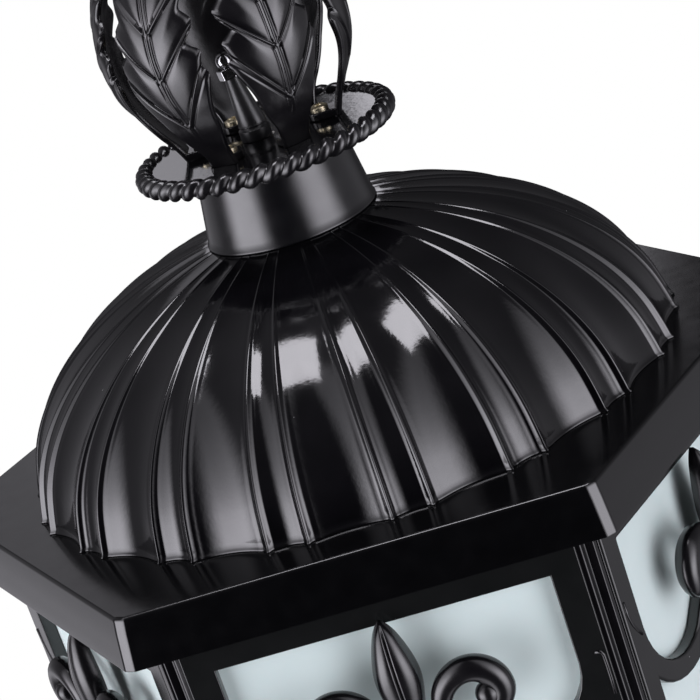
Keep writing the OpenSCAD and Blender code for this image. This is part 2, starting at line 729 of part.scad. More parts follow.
// The right half of an opening's outline, from its top middle round to its bottom middle
upper_half = concat([[0, opening_top], [open_half, opening_top]],
                    arc([arm_x, -arm_z], arm_r, 0, -arm_meet, 10),
                    [[pad_half, pad_top], [0, pad_top]]);
lower_half = concat([[0, pad_bottom], [pad_half, pad_bottom]],
                    arc([arm_x, -arm_z], arm_low_r, -arm_meet, -arm_start, 8),
                    arc([open_half - corner_round, opening_bottom + corner_round], corner_round, 0, -90, 4),
                    [[0, opening_bottom]]);
function both_halves(points) =
    concat(points, [for (i = [len(points) - 2 : -1 : 1]) [-points[i][0], points[i][1]]]);

module on_side(k) {
    hung() rotate(k * side_step + half_step + 90) children();
}

module side_plate(points, depth, t) {
    translate([0, -side_apothem + depth + t, 0]) rotate([90, 0, 0])
        linear_extrude(height = t) polygon(points);
}

module frame(k) {
    outline = [[-frame_half, sides_bottom], [frame_half, sides_bottom],
               [frame_half, -eave_wall], [-frame_half, -eave_wall]];
    color(black_gloss) on_side(k) difference() {
        side_plate(outline, 0, frame_t);
        side_plate(both_halves(upper_half), -1, frame_t + 2);
        side_plate(both_halves(lower_half), -1, frame_t + 2);
    }
}

module frame_1() { frame(0); }
module frame_2() { frame(1); }
module frame_3() { frame(2); }
module frame_4() { frame(3); }
module frame_5() { frame(4); }
module frame_6() { frame(5); }

pane_half = open_half + glass_lap;
pane_top = opening_top + glass_lap;
pane_bottom = opening_bottom - glass_lap;
module pane(k) {
    color(frosted) on_side(k) translate([-pane_half, -side_apothem + frame_t, pane_bottom])
        cube([2 * pane_half, glass_t, pane_top - pane_bottom]);
}

module pane_1() { pane(0); }
module pane_2() { pane(1); }
module pane_3() { pane(2); }
module pane_4() { pane(3); }
module pane_5() { pane(4); }
module pane_6() { pane(5); }

// Spring clips that press each pane against its frame: a block on the frame with a tongue over the glass
clip_w = 14;
clip_tongue = 5;
clip_body = 4;
clip_t = 1.6;
module clip() {
    translate([-clip_w / 2, 0, 0]) cube([clip_w, glass_t, clip_body]);
    translate([-clip_w / 2, glass_t, -clip_tongue]) cube([clip_w, clip_t, clip_body + clip_tongue]);
}

module pane_clips() {
    color(zinc) for (k = [0 : sides - 1]) on_side(k) for (x = [-0.6, 0.6]) {
        translate([x * pane_half, -side_apothem + frame_t, pane_top]) clip();
        translate([x * pane_half, -side_apothem + frame_t, pane_bottom]) mirror([0, 0, 1]) clip();
    }
}

// The middle petal of the fleur-de-lis, ridged along its middle. Rows run from the tip down.
// Each row: height, half width, thickness at the ridge
petal_end = arm_z + 12;
petal_rows = [for (t = [0, 0.1, 0.25, 0.42, 0.58, 0.78, 1])
    [-petal_tip_z - t * (petal_end - petal_tip_z),
     petal_half * (t == 0 ? 0.08 : t < 0.5 ? sin(90 * pow(t / 0.5, 0.8)) : 1 - 0.5 * smooth((t - 0.5) / 0.5)),
     t == 0 ? 2 : 5 + 5 * sin(150 * t)]];
module petal() {
    n = len(petal_rows);
    m = 6;
    w = m + 1;
    back = -side_apothem - ornament_gap;
    points = flat([for (r = petal_rows)
        [[-r[1], back, r[0]], [-r[1], back - 0.25 * r[2], r[0]], [-0.5 * r[1], back - 0.8 * r[2], r[0]],
         [0, back - r[2], r[0]], [0.5 * r[1], back - 0.8 * r[2], r[0]], [r[1], back - 0.25 * r[2], r[0]],
         [r[1], back, r[0]]]]);
    function q(i, j) = i * w + (j % w);
    skin = flat([for (i = [0 : n - 2]) flat([for (j = [0 : m])
        [[q(i, j), q(i, j + 1), q(i + 1, j)], [q(i, j + 1), q(i + 1, j + 1), q(i + 1, j)]]])]);
    tip = [[for (j = [m : -1 : 0]) q(0, j)]];
    end = [[for (j = [0 : m]) q(n - 1, j)]];
    polyhedron(points = points, faces = concat(skin, tip, end), convexity = 4);
}

// One side scroll: a bar that rises from the base, curls over and ends in a ball
scroll_y = -side_apothem - ornament_gap - scroll_bar_r;
scroll_root = [7, -arm_z - 10];
module scroll() {
    start = [scroll_x - scroll_r, -scroll_z];
    rise = start - scroll_root;
    length = norm(rise);
    translate([0, scroll_y, 0]) {
        translate([scroll_x, 0, -scroll_z]) rotate([90, 0, 0]) rotate_extrude(angle = 180, $fn = 72)
            translate([scroll_r, 0]) circle(r = scroll_bar_r, $fn = 32);
        translate([scroll_x + scroll_r - 4.8, 0, -scroll_z - 1]) sphere(r = scroll_eye_r, $fn = 48);
        translate([scroll_x - scroll_r, 0, -scroll_z]) sphere(r = scroll_bar_r + 0.25, $fn = 48);
        translate([scroll_root[0], 0, scroll_root[1]]) rotate([0, atan2(rise[0], rise[1]), 0])
            cylinder(r = scroll_bar_r - 0.5, h = length, $fn = 48);
    }
}

module ornament(k) {
    band_z = -arm_z - 14;
    band_h = 9;
    band_half = pad_half + 5;
    band_front = side_apothem + ornament_gap + 2 * scroll_bar_r + 1.5;
    color(black_gloss) on_side(k) union() {
        petal();
        scroll();
        mirror([1, 0, 0]) scroll();
        translate([-band_half, -band_front, band_z])
            cube([2 * band_half, band_front - side_apothem - 1, band_h]);
        translate([-pad_half + 1, -side_apothem - 6, pad_bottom + 2])
            cube([2 * pad_half - 2, 6, pad_top - pad_bottom - 4]);
    }
}

module ornament_1() { ornament(0); }
module ornament_2() { ornament(1); }
module ornament_3() { ornament(2); }
module ornament_4() { ornament(3); }
module ornament_5() { ornament(4); }
module ornament_6() { ornament(5); }

// The base plate under the sides, with a shallow step
module base_plate() {
    color(black_gloss) hung() difference() {
        translate([0, 0, boss_z]) hex_prism(side_apothem + base_lip, base_t);
        translate([0, 0, boss_z - 1]) cylinder(r = base_rod_r, h = base_t + 2, $fn = 48);
        for (k = [0 : sides - 1]) rotate(k * side_step) translate([head_screw_r, 0, boss_z - 1])
            cylinder(r = screw_r, h = base_t + 2, $fn = 32);
    }
}

base_rod_r = 4;
finial_socket = 14;

// The turned boss between the base plate and the finial
module base_boss() {
    waist = finial_r - 2;
    profile = concat([[base_rod_r, 0], [boss_r, 0], [boss_r, -4]],
                     arc([boss_r, -boss_h + 2], boss_h - 6, 90, 172, 8),
                     [[waist, -boss_h], [base_rod_r, -boss_h]]);
    color(black_gloss) hung() translate([0, 0, boss_z]) rotate_extrude($fn = 128) polygon(profile);
}

module base_rod() {
    top = base_t + 12;
    color(zinc) hung() translate([0, 0, finial_z - finial_socket])
        cylinder(r = base_rod_r, h = boss_h + finial_socket + top, $fn = 48);
}

module base_nut() {
    color(zinc) hung() translate([0, 0, sides_bottom]) nut(13, base_rod_r, 6.5);
}

// The finial: a neck, a ball and a drawn-out tip
module finial() {
    ball_z = -finial_r - 3;
    tip_r = 2;
    profile = concat([[base_rod_r, 0], [finial_r - 4, 0], [finial_r - 5, -3.5]],
                     arc([0, ball_z], finial_r, 55, -60, 12),
                     [[0.32 * finial_r, -0.76 * finial_h]],
                     arc([0, -finial_h + tip_r], tip_r, 20, -90, 5),
                     [[0, -finial_socket - 1], [base_rod_r, -finial_socket]]);
    color(black_gloss) hung() translate([0, 0, finial_z]) rotate_extrude($fn = 96) polygon(profile);
}

hanging_ring();
top_eye();
eye_nut();
crown_cap();
leaf_1();
leaf_2();
leaf_3();
leaf_4();
leaf_5();
leaf_6();
leaf_screws();
rope_flange();
stem_cone();
stem_nut();
stem_ball();
collar();
dome();
eave();
threaded_tube();
tube_nut();
holder_bracket();
lampholder_body();
lampholder_shell();
lampholder_contact();
bulb();
head_ring();
head_screws();
post_1();
post_2();
post_3();
post_4();
post_5();
post_6();
frame_1();
frame_2();
frame_3();
frame_4();
frame_5();
frame_6();
pane_1();
pane_2();
pane_3();
pane_4();
pane_5();
pane_6();
ornament_1();
ornament_2();
ornament_3();
ornament_4();
ornament_5();
ornament_6();
pane_clips();
foot_ring();
foot_screws();
base_plate();
base_boss();
base_rod();
base_nut();
finial();
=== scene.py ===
import bmesh
import bpy
import numpy as np
from math import acos, atan2, cos, pi, radians, sin, sqrt
from mathutils import Matrix, Vector


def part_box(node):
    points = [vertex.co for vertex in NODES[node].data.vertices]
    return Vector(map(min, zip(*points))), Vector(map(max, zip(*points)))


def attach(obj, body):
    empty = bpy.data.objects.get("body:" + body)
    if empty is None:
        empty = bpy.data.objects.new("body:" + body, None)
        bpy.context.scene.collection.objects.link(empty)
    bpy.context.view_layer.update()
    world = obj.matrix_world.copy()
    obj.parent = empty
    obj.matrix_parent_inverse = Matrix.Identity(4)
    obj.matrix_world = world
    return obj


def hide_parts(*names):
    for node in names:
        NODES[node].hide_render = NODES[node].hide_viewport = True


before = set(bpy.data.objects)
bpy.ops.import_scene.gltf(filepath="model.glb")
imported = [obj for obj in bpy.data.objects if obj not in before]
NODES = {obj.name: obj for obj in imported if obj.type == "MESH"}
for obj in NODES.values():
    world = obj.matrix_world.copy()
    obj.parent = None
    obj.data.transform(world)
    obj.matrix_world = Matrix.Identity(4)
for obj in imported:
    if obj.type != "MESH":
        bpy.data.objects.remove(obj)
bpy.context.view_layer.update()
MM = 0.001


def corner(node, which):
    """The lowest (0) or highest (1) corner of a CAD node, in millimetres."""
    return [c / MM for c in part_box(node)[which]]


# Levels and sizes read from the frame
EAVE_TOP = corner("eave", 1)[2]
SKIRT_FOOT = corner("eave", 0)[2] - EAVE_TOP
COLLAR_FOOT = corner("collar", 0)[2] - EAVE_TOP
FLANGE_Z = corner("collar", 1)[2] - EAVE_TOP
LEAF_FOOT = corner("leaf_1", 0)[2] - EAVE_TOP
LEAF_TOP = corner("leaf_1", 1)[2] - EAVE_TOP
SIDES = 6
STEP = 360 / SIDES


# Points and curves


def between(low, high, t):
    """The value a share t of the way from one to another."""
    return low + (high - low) * t


def polar(radius, angle, height):
    """A point at a radius and an angle in radians about the lantern's axis."""
    return radius * cos(angle), radius * sin(angle), height


def turned(points, degrees):
    """Points turned about the lantern's axis."""
    c = cos(radians(degrees))
    s = sin(radians(degrees))
    return [(x * c - y * s, x * s + y * c, z) for x, y, z in points]


def on_side(points, k):
    """Turns points that face -Y so that they face side k's way."""
    return turned(points, k * STEP + STEP / 2 + 90)


def smooth_table(table, x):
    """A smooth curve through a short table of pairs."""
    xs = [p[0] for p in table]
    ys = [p[1] for p in table]
    x = min(max(x, xs[0]), xs[-1])
    k = min(max(int(np.searchsorted(xs, x)) - 1, 0), len(xs) - 2)
    slopes = []
    for m in (k, k + 1):
        a = max(m - 1, 0)
        b = min(m + 1, len(xs) - 1)
        slopes.append((ys[b] - ys[a]) / (xs[b] - xs[a]))
    h = xs[k + 1] - xs[k]
    t = (x - xs[k]) / h
    return ((1 + 2 * t) * (1 - t) ** 2 * ys[k] + t * (1 - t) ** 2 * h * slopes[0]
            + t * t * (3 - 2 * t) * ys[k + 1] + t * t * (t - 1) * h * slopes[1])


def bead_and_groove(distance, height, groove, groove_at, groove_width, fullness):
    """A raised bead with a shallow groove on both sides. Distances are in half widths of the bead."""
    d = abs(distance)
    ridge = height * (1 - d * d) ** fullness if d < 1 else 0.0
    return ridge - groove * np.exp(-((d - groove_at) / groove_width) ** 2)


# Faces and meshes


def grid_faces(rows, columns, wrap=False, start=0):
    """Quads over a grid of points. With wrap, the last column joins the first."""
    faces = []
    for i in range(rows - 1):
        for j in range(columns if wrap else columns - 1):
            a = start + i * columns + j
            b = start + i * columns + (j + 1) % columns
            faces.append((a, b, b + columns, a + columns))
    return faces


def ring_faces(rows, columns):
    """Quads over a grid of points that joins up both ways, as on a torus."""
    faces = grid_faces(rows, columns, wrap=True)
    last = (rows - 1) * columns
    for j in range(columns):
        k = (j + 1) % columns
        faces.append((last + j, last + k, k, j))
    return faces


def closed_sheet(rows, columns):
    """Faces of two matching sheets of points, one after the other, joined round their rims."""
    shift = rows * columns
    faces = grid_faces(rows, columns)
    faces += [tuple(reversed(f)) for f in grid_faces(rows, columns, start=shift)]
    for i in range(rows - 1):
        for j in (0, columns - 1):
            a = i * columns + j
            faces.append((a, a + columns, a + columns + shift, a + shift))
    for i in (0, rows - 1):
        for j in range(columns - 1):
            a = i * columns + j
            faces.append((a, a + 1, a + 1 + shift, a + shift))
    return faces


def tidy(mesh):
    """Merges doubled points and turns every face outwards."""
    bm = bmesh.new()
    bm.from_mesh(mesh)
    bmesh.ops.remove_doubles(bm, verts=bm.verts, dist=1e-7)
    bmesh.ops.recalc_face_normals(bm, faces=bm.faces)
    bm.to_mesh(mesh)
    bm.free()


def mesh_object(name, points, faces):
    """A smooth mesh from points in millimetres, measured from the top of the eave."""
    points = np.array(points, dtype=float)
    points[:, 2] += EAVE_TOP
    mesh = bpy.data.meshes.new(name)
    mesh.from_pydata((points * MM).tolist(), [], faces)
    mesh.update()
    obj = bpy.data.objects.new(name, mesh)
    bpy.context.scene.collection.objects.link(obj)
    tidy(mesh)
    mesh.shade_smooth()
    return obj


def lathe(name, profile, segments, middle_x=0):
    """Turns a closed profile of (radius, height) pairs about an upright axis."""
    points = []
    for r, z in profile:
        for j in range(segments):
            a = 2 * pi * j / segments
            points.append((middle_x + r * cos(a), r * sin(a), z))
    return mesh_object(name, points, ring_faces(len(profile), segments))


def tube_mesh(path, y, sides=20, flat=0.92):
    """A tube round a path of (x, height, radius) in the plane of a side, flattened a little."""
    points = []
    last = len(path) - 1
    for i, (x, z, radius) in enumerate(path):
        x0, z0, _ = path[max(i - 1, 0)]
        x1, z1, _ = path[min(i + 1, last)]
        length = sqrt((x1 - x0) ** 2 + (z1 - z0) ** 2)
        nx = -(z1 - z0) / length
        nz = (x1 - x0) / length
        for j in range(sides):
            a = 2 * pi * j / sides
            points.append((x + nx * radius * cos(a), -(y + flat * radius * sin(a)), z + nz * radius * cos(a)))
    faces = grid_faces(len(path), sides, wrap=True)
    faces.append(tuple(range(sides)))
    faces.append(tuple(range(last * sides, (last + 1) * sides)))
    return points, faces


def ball_mesh(centre, radius, rows=16, columns=24):
    points = []
    for i in range(rows + 1):
        tilt = pi * i / rows
        for j in range(columns):
            a = 2 * pi * j / columns
            points.append((centre[0] + radius * sin(tilt) * cos(a), centre[1] + radius * cos(tilt),
                           centre[2] + radius * sin(tilt) * sin(a)))
    return points, grid_faces(rows + 1, columns, wrap=True)


def box_mesh(low, high):
    xs, ys, zs = zip(low, high)
    points = [(x, y, z) for x in xs for y in ys for z in zs]
    faces = [(0, 1, 3, 2), (4, 6, 7, 5), (0, 4, 5, 1), (2, 3, 7, 6), (0, 2, 6, 4), (1, 5, 7, 3)]
    return points, faces


def joined(parts):
    """The points and faces of several parts as those of one."""
    points = []
    faces = []
    for part_points, part_faces in parts:
        start = len(points)
        points += part_points
        faces += [tuple(i + start for i in face) for face in part_faces]
    return points, faces


# Edges

# Angles in degrees: an edge that turns by more gets rounded, one that turns by less is dissolved first,
# and one of the finished mesh that turns by more is shaded as sharp
ROUNDED_ANGLE = 25
FLAT_ANGLE = 0.5
CREASE_ANGLE = 40


def crease(obj, angle):
    """Shades an object as sharp along the edges that turn by more than the angle."""
    obj.data.set_sharp_from_angle(angle=radians(angle))
    return obj


def bevel(obj, bm, edges, width, segments, clamp):
    """Rounds the chosen edges, and shades large flat faces as flat where they meet the rounded ones."""
    bmesh.ops.bevel(bm, geom=edges, offset=width * MM, segments=segments, profile=0.5,
                    affect="EDGES", clamp_overlap=clamp)
    bm.to_mesh(obj.data)
    bm.free()
    obj.data.shade_smooth()
    crease(obj, CREASE_ANGLE)
    modifier = obj.modifiers.new("flat_faces", "WEIGHTED_NORMAL")
    modifier.keep_sharp = True
    modifier.weight = 80


def round_edges(obj, width, segments=3):
    """Rounds all the edges of a piece, apart from the facets of its curved faces."""
    bm = bmesh.new()
    bm.from_mesh(obj.data)
    bmesh.ops.remove_doubles(bm, verts=bm.verts, dist=1e-6)
    bmesh.ops.dissolve_limit(bm, angle_limit=radians(FLAT_ANGLE), verts=bm.verts, edges=bm.edges)
    edges = []
    for edge in bm.edges:
        if len(edge.link_faces) == 2 and edge.calc_face_angle() > radians(ROUNDED_ANGLE):
            edges.append(edge)
    bevel(obj, bm, edges, width, segments, True)


def softened(node, width, segments=3):
    """A copy of a CAD node's mesh with rounded edges, which stands for the node."""
    mesh = NODES[node].data.copy()
    obj = bpy.data.objects.new(node + "_finished", mesh)
    mesh.materials.clear()
    bpy.context.scene.collection.objects.link(obj)
    round_edges(obj, width, segments)
    return obj


def dress(obj, material, nodes, body="lantern"):
    """Gives a piece its material, lets it ride on its body and stand for its nodes."""
    obj.data.materials.append(material)
    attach(obj, body)
    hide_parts(*nodes)


# Materials: noise scales are in cells to the metre, and bumps in metres

SPECKS_PER_M = 55
SPECK_SIZE = 0.00035
SPECK_COLOUR = (0.16, 0.16, 0.16, 1)
# The middle of a speck that has its full colour, as a share of its size
SPECK_CORE = 0.7
PAINT_IOR = 1.65
# Scales of the paint's change of colour, its change of gloss, its ripple and its grain
COLOUR_SCALE = 45
GLOSS_SCALE = 110
RIPPLE_SCALE = 260
GRAIN_SCALE = 800


def new_material(name):
    material = bpy.data.materials.new(name)
    material.use_nodes = True
    tree = material.node_tree
    return material, tree, tree.nodes["Principled BSDF"]


def noise(tree, scale, detail=3.0):
    """A noise texture in the part's own coordinates."""
    place = tree.nodes.new("ShaderNodeTexCoord")
    texture = tree.nodes.new("ShaderNodeTexNoise")
    texture.inputs["Scale"].default_value = scale
    texture.inputs["Detail"].default_value = detail
    tree.links.new(place.outputs["Object"], texture.inputs["Vector"])
    return texture.outputs["Fac"]


def remap(tree, value, low, high, from_low=0.3, from_high=0.7):
    """Maps a value from one range onto another. Noise lies between 0.3 and 0.7 for the most part."""
    node = tree.nodes.new("ShaderNodeMapRange")
    node.inputs["From Min"].default_value = from_low
    node.inputs["From Max"].default_value = from_high
    node.inputs["To Min"].default_value = low
    node.inputs["To Max"].default_value = high
    tree.links.new(value, node.inputs["Value"])
    return node.outputs["Result"]


def blend_colour(tree, factor, first, second):
    node = tree.nodes.new("ShaderNodeMix")
    node.data_type = "RGBA"
    node.inputs["A"].default_value = (*first, 1)
    node.inputs["B"].default_value = (*second, 1)
    tree.links.new(factor, node.inputs["Factor"])
    return node.outputs["Result"]


def bump(tree, height, distance, below=None):
    """A bump of so many metres, on top of the one below it if there is one."""
    node = tree.nodes.new("ShaderNodeBump")
    node.inputs["Distance"].default_value = distance
    node.inputs["Strength"].default_value = 1
    tree.links.new(height, node.inputs["Height"])
    if below is not None:
        tree.links.new(below, node.inputs["Normal"])
    return node.outputs["Normal"]


def specks(tree):
    """1 in a few tiny specks of dust in the paint, 0 elsewhere."""
    place = tree.nodes.new("ShaderNodeTexCoord")
    texture = tree.nodes.new("ShaderNodeTexVoronoi")
    texture.inputs["Scale"].default_value = SPECKS_PER_M
    tree.links.new(place.outputs["Object"], texture.inputs["Vector"])
    reach = SPECK_SIZE * SPECKS_PER_M
    return remap(tree, texture.outputs["Distance"], 1, 0, reach * SPECK_CORE, reach)


def paint(name, colour, worn, roughness, ripple=0.000028, grain=0.000013):
    """Sprayed paint: faint ripple, fine grain, specks, and a slight change of colour and gloss."""
    material, tree, shader = new_material(name)
    shade = remap(tree, noise(tree, COLOUR_SCALE), 0, 1)
    plain = blend_colour(tree, shade, colour, worn)
    speck = tree.nodes.new("ShaderNodeMix")
    speck.data_type = "RGBA"
    speck.inputs["B"].default_value = SPECK_COLOUR
    tree.links.new(plain, speck.inputs["A"])
    tree.links.new(specks(tree), speck.inputs["Factor"])
    tree.links.new(speck.outputs["Result"], shader.inputs["Base Color"])
    tree.links.new(remap(tree, noise(tree, GLOSS_SCALE, 4), roughness * 0.85, roughness * 1.2),
                   shader.inputs["Roughness"])
    shader.inputs["IOR"].default_value = PAINT_IOR
    wave = bump(tree, noise(tree, RIPPLE_SCALE, 2), ripple)
    tree.links.new(bump(tree, noise(tree, GRAIN_SCALE, 2), grain, wave), shader.inputs["Normal"])
    return material


def metal(name, colour, dull, roughness):
    """Plated or pressed metal with a faint brushed unevenness. On the stem's black nut and ball it is painted
    sheen.
    """
    material, tree, shader = new_material(name)
    shade = remap(tree, noise(tree, 400, 4), 0, 1)
    tree.links.new(blend_colour(tree, shade, colour, dull), shader.inputs["Base Color"])
    tree.links.new(remap(tree, noise(tree, 900, 3), roughness * 0.7, roughness * 1.3),
                   shader.inputs["Roughness"])
    tree.links.new(bump(tree, noise(tree, 1500, 3), 0.00001), shader.inputs["Normal"])
    shader.inputs["Metallic"].default_value = 1
    return material


def frosted(name, colour, cloudy):
    """Frosted glass: pale, with a fine etched grain."""
    material, tree, shader = new_material(name)
    shade = remap(tree, noise(tree, 14, 2), 0, 1)
    tree.links.new(blend_colour(tree, shade, colour, cloudy), shader.inputs["Base Color"])
    tree.links.new(remap(tree, noise(tree, 700, 4), 0.68, 0.82), shader.inputs["Roughness"])
    tree.links.new(bump(tree, noise(tree, 5000, 2), 0.000008), shader.inputs["Normal"])
    shader.inputs["Subsurface Weight"].default_value = 0.6
    shader.inputs["Subsurface Radius"].default_value = (0.012, 0.014, 0.014)
    return material


def glaze(name, colour, shadow, roughness):
    """A glazed or opal surface."""
    material, tree, shader = new_material(name)
    shade = remap(tree, noise(tree, 60), 0, 1)
    tree.links.new(blend_colour(tree, shade, colour, shadow), shader.inputs["Base Color"])
    tree.links.new(remap(tree, noise(tree, 200), roughness * 0.8, roughness * 1.2),
                   shader.inputs["Roughness"])
    tree.links.new(bump(tree, noise(tree, 500), 0.00001), shader.inputs["Normal"])
    return material


# Paints: main colour, second colour, roughness, and ripple and grain where they differ
GLOSS = paint("gloss_black_paint", (0.002, 0.0019, 0.0025), (0.0036, 0.0034, 0.0042), 0.09)
FLAT_GLOSS = paint("eave_black_paint", (0.0014, 0.0014, 0.0017), (0.0017, 0.0017, 0.002), 0.15,
                   0.00001, 0.000003)
FRAME_BLACK = paint("frame_black_paint", (0.005, 0.0055, 0.0055), (0.007, 0.0075, 0.0075), 0.16,
                    0.00001, 0.000003)
CAST = paint("cast_black_paint", (0.003, 0.0028, 0.0036), (0.006, 0.0056, 0.0065), 0.2, 0.00003, 0.000005)
COLLAR_BLACK = paint("collar_black_paint", (0.003, 0.003, 0.0036), (0.005, 0.005, 0.006), 0.2,
                     0.00001, 0.000004)
SATIN = paint("satin_black_paint", (0.008, 0.008, 0.009), (0.012, 0.012, 0.013), 0.34, 0.00001, 0.000006)
ZINC = metal("zinc_plate", (0.62, 0.6, 0.56), (0.5, 0.48, 0.44), 0.3)
SCREW_ZINC = metal("yellow_zinc_plate", (0.95, 0.86, 0.64), (0.85, 0.74, 0.5), 0.34)
# The stem's nut and ball are black paint, but take a bright grey metal: painted sheen, standing in for the
# highlights that light puts on them
PAINTED_SHEEN_METAL = metal("painted_sheen_grey_metal", (0.5, 0.5, 0.51), (0.42, 0.42, 0.43), 0.16)
BRASS = metal("pressed_brass", (0.75, 0.55, 0.26), (0.6, 0.42, 0.18), 0.25)
GLASS = frosted("frosted_glass", (0.66, 0.76, 0.74), (0.62, 0.72, 0.7))
PORCELAIN = glaze("glazed_porcelain", (0.82, 0.82, 0.78), (0.74, 0.74, 0.7), 0.12)
OPAL = glaze("opal_bulb", (0.86, 0.86, 0.84), (0.8, 0.8, 0.78), 0.3)


# Dome: double ribs with a channel between their edges, and wide flutes between the ribs

DOME_R = 140.4
DOME_H = COLLAR_FOOT
DOME_NECK_R = 38.0
DOME_POWER = 1.05
DOME_WALL = 3.5
RIBS = 18
# Half width of a rib as a share of the rib spacing
RIB_HALF = 0.165
FLUTE_DEPTH = 4.2
CHANNEL_DEPTH = 2.4
RIDGE_ROUNDING = 0.15
# Each rib edge carries a narrow raised bead: its height, and its half width as a share of the rib spacing
BEAD_H = 1.0
BEAD_HALF = 0.03
# Share of the bead's height that would be left where the ribs run out
BEAD_LEAST = 0.45
# The groove beside a bead: its depth, and its place and width in half widths of the bead
BEAD_GROOVE = (0.3, 1.5, 0.45)
# The wall splays out a little above the foot
SPLAY = 1.3
SPLAY_H = 14.0
# The lip at the foot: how far it stands out, and its height
FOOT_LIP = [(0.5, 0.0), (0.7, 0.5), (0.3, 1.0)]
# Share of the outline that the lip takes up
LIP_SHARE = 0.02
DOME_ROWS = 62
LINING_ROWS = 8
CHANNEL_COLUMNS = 10
FLUTE_COLUMNS = 14


def dome_outline(t):
    """Radius and height of the dome's ridges, for t from 0 at the foot to 1 at the neck."""
    top = acos(DOME_NECK_R / DOME_R)
    full = DOME_H / sin(top) ** DOME_POWER
    return DOME_R * cos(top * t), full * sin(top * t) ** DOME_POWER


def dome_levels():
    """Radius and height of each row of the outer wall, from the lip up."""
    levels = [(DOME_R + out, z) for out, z in FOOT_LIP]
    for i in range(DOME_ROWS + 1):
        levels.append(dome_outline(LIP_SHARE + (1 - LIP_SHARE) * i / DOME_ROWS))
    return [(r + SPLAY * max(0, 1 - z / SPLAY_H) ** 2, z) for r, z in levels]


def dome_depth(x):
    """Depth below the ridges, and the bead's rise, at a share x of the rib spacing from a rib's middle."""
    beyond = abs(x) - RIB_HALF
    if beyond < 0:
        depth = CHANNEL_DEPTH * (1 - (x / RIB_HALF) ** 2)
    else:
        depth = FLUTE_DEPTH * (1 - (1 - beyond / (0.5 - RIB_HALF)) ** 2)
    bead = bead_and_groove(beyond / BEAD_HALF, BEAD_H, *BEAD_GROOVE, 1)
    return sqrt(depth * depth + RIDGE_ROUNDING ** 2), bead


def dome_section():
    """Places across one rib spacing, closer together near the ridges."""
    half = []
    for i in range(CHANNEL_COLUMNS + 1):
        half.append(RIB_HALF * sin(pi / 2 * i / CHANNEL_COLUMNS))
    for i in range(1, FLUTE_COLUMNS + 1):
        half.append(RIB_HALF + (0.5 - RIB_HALF) * (1 - cos(pi / 2 * i / FLUTE_COLUMNS)))
    return [-x for x in reversed(half[1:-1])] + half


def make_dome():
    angles = []
    relief = []
    for k in range(RIBS):
        for x in dome_section():
            angles.append(radians((k + x) * 360 / RIBS))
            relief.append(dome_depth(x))
    points = []
    for r, z in dome_levels():
        fade = r / DOME_R
        for a, (depth, bead) in zip(angles, relief):
            reach = r - depth * fade + bead * between(BEAD_LEAST, 1, fade)
            points.append(polar(reach, a, z))
    for i in range(LINING_ROWS + 1):
        r, z = dome_outline(1 - i / LINING_ROWS)
        height = DOME_H if i == 0 else z - DOME_WALL * z / DOME_H
        points += [polar(r - FLUTE_DEPTH * r / DOME_R - DOME_WALL, a, height) for a in angles]
    faces = ring_faces(len(points) // len(angles), len(angles))
    dress(mesh_object("dome_shell", points, faces), GLOSS, ["dome"])


# Collar

COLLAR_R = 36.6
COLLAR_TOP_R = 31.6
COLLAR_WALL = 3.0
# The bead round the collar's foot: how far it stands out, and its height above the foot
COLLAR_BEAD = [(-0.1, 0.0), (0.3, 0.4), (0.3, 1.0), (-0.1, 1.4)]
COLLAR_ROWS = 8
COLLAR_SEGMENTS = 160
# How far the lining draws in below the collar's top
LINING_STEP = 0.2


def make_collar():
    profile = [(COLLAR_R - COLLAR_WALL, COLLAR_FOOT)]
    profile += [(COLLAR_R + out, COLLAR_FOOT + up) for out, up in COLLAR_BEAD]
    for i in range(1, COLLAR_ROWS + 1):
        t = i / COLLAR_ROWS
        profile.append((between(COLLAR_R, COLLAR_TOP_R, t), between(COLLAR_FOOT, FLANGE_Z, t)))
    inner_r = COLLAR_TOP_R - COLLAR_WALL
    profile += [(inner_r, FLANGE_Z), (inner_r - LINING_STEP, FLANGE_Z - COLLAR_WALL)]
    collar = crease(lathe("collar_cup", profile, COLLAR_SEGMENTS), 50)
    dress(collar, COLLAR_BLACK, ["collar"])


# Rope-edged flange

ROPE_RING_R = 52.0
ROPE_R = 4.4
ROPE_Z = (FLANGE_Z + LEAF_FOOT) / 2
ROPE_TURNS = 45
# Where the first strand lies, in degrees, and how much a strand leans on its way round the rope
ROPE_START = 3.8
ROPE_LEAN = 1.6
# Depth of the grooves between the strands, as a share of the rope's radius, and the strands' fullness
STRAND_DEPTH = 0.5
STRAND_FULLNESS = 0.8
ROPE_SIDES = 20
ROWS_PER_TURN = 12
DISC_HOLE_R = 5.0
# How far the disc's rim reaches into the rope, as a share of the rope's radius
DISC_REACH = 0.6
DISC_SEGMENTS = 128


def rope_radius(a, side):
    """Radius of the rope at an angle round the lantern and at one round the rope, in degrees."""
    phase = ROPE_TURNS * (a - ROPE_START) - ROPE_LEAN * (side if side < 180 else side - 360)
    swell = abs(cos(radians(phase / 2))) ** STRAND_FULLNESS
    return ROPE_R * between(1 - STRAND_DEPTH, 1, swell)


def make_flange():
    rows = ROPE_TURNS * ROWS_PER_TURN
    points = []
    for i in range(rows):
        a = 360 * i / rows
        for j in range(ROPE_SIDES):
            side = 360 * j / ROPE_SIDES
            r = rope_radius(a, side)
            out = ROPE_RING_R + r * cos(radians(side))
            points.append(polar(out, radians(a), ROPE_Z + r * sin(radians(side))))
    rope = mesh_object("rope_edge", points, ring_faces(rows, ROPE_SIDES))
    dress(rope, CAST, ["rope_flange"])
    rim = ROPE_RING_R - ROPE_R * DISC_REACH
    profile = [(DISC_HOLE_R, FLANGE_Z), (rim, FLANGE_Z), (rim, LEAF_FOOT), (DISC_HOLE_R, LEAF_FOOT)]
    disc = crease(lathe("flange_disc", profile, DISC_SEGMENTS), 40)
    dress(disc, GLOSS, ["rope_flange"])


# Leaves of the crown

LEAF_H = LEAF_TOP - LEAF_FOOT
LEAF_T = 3.2
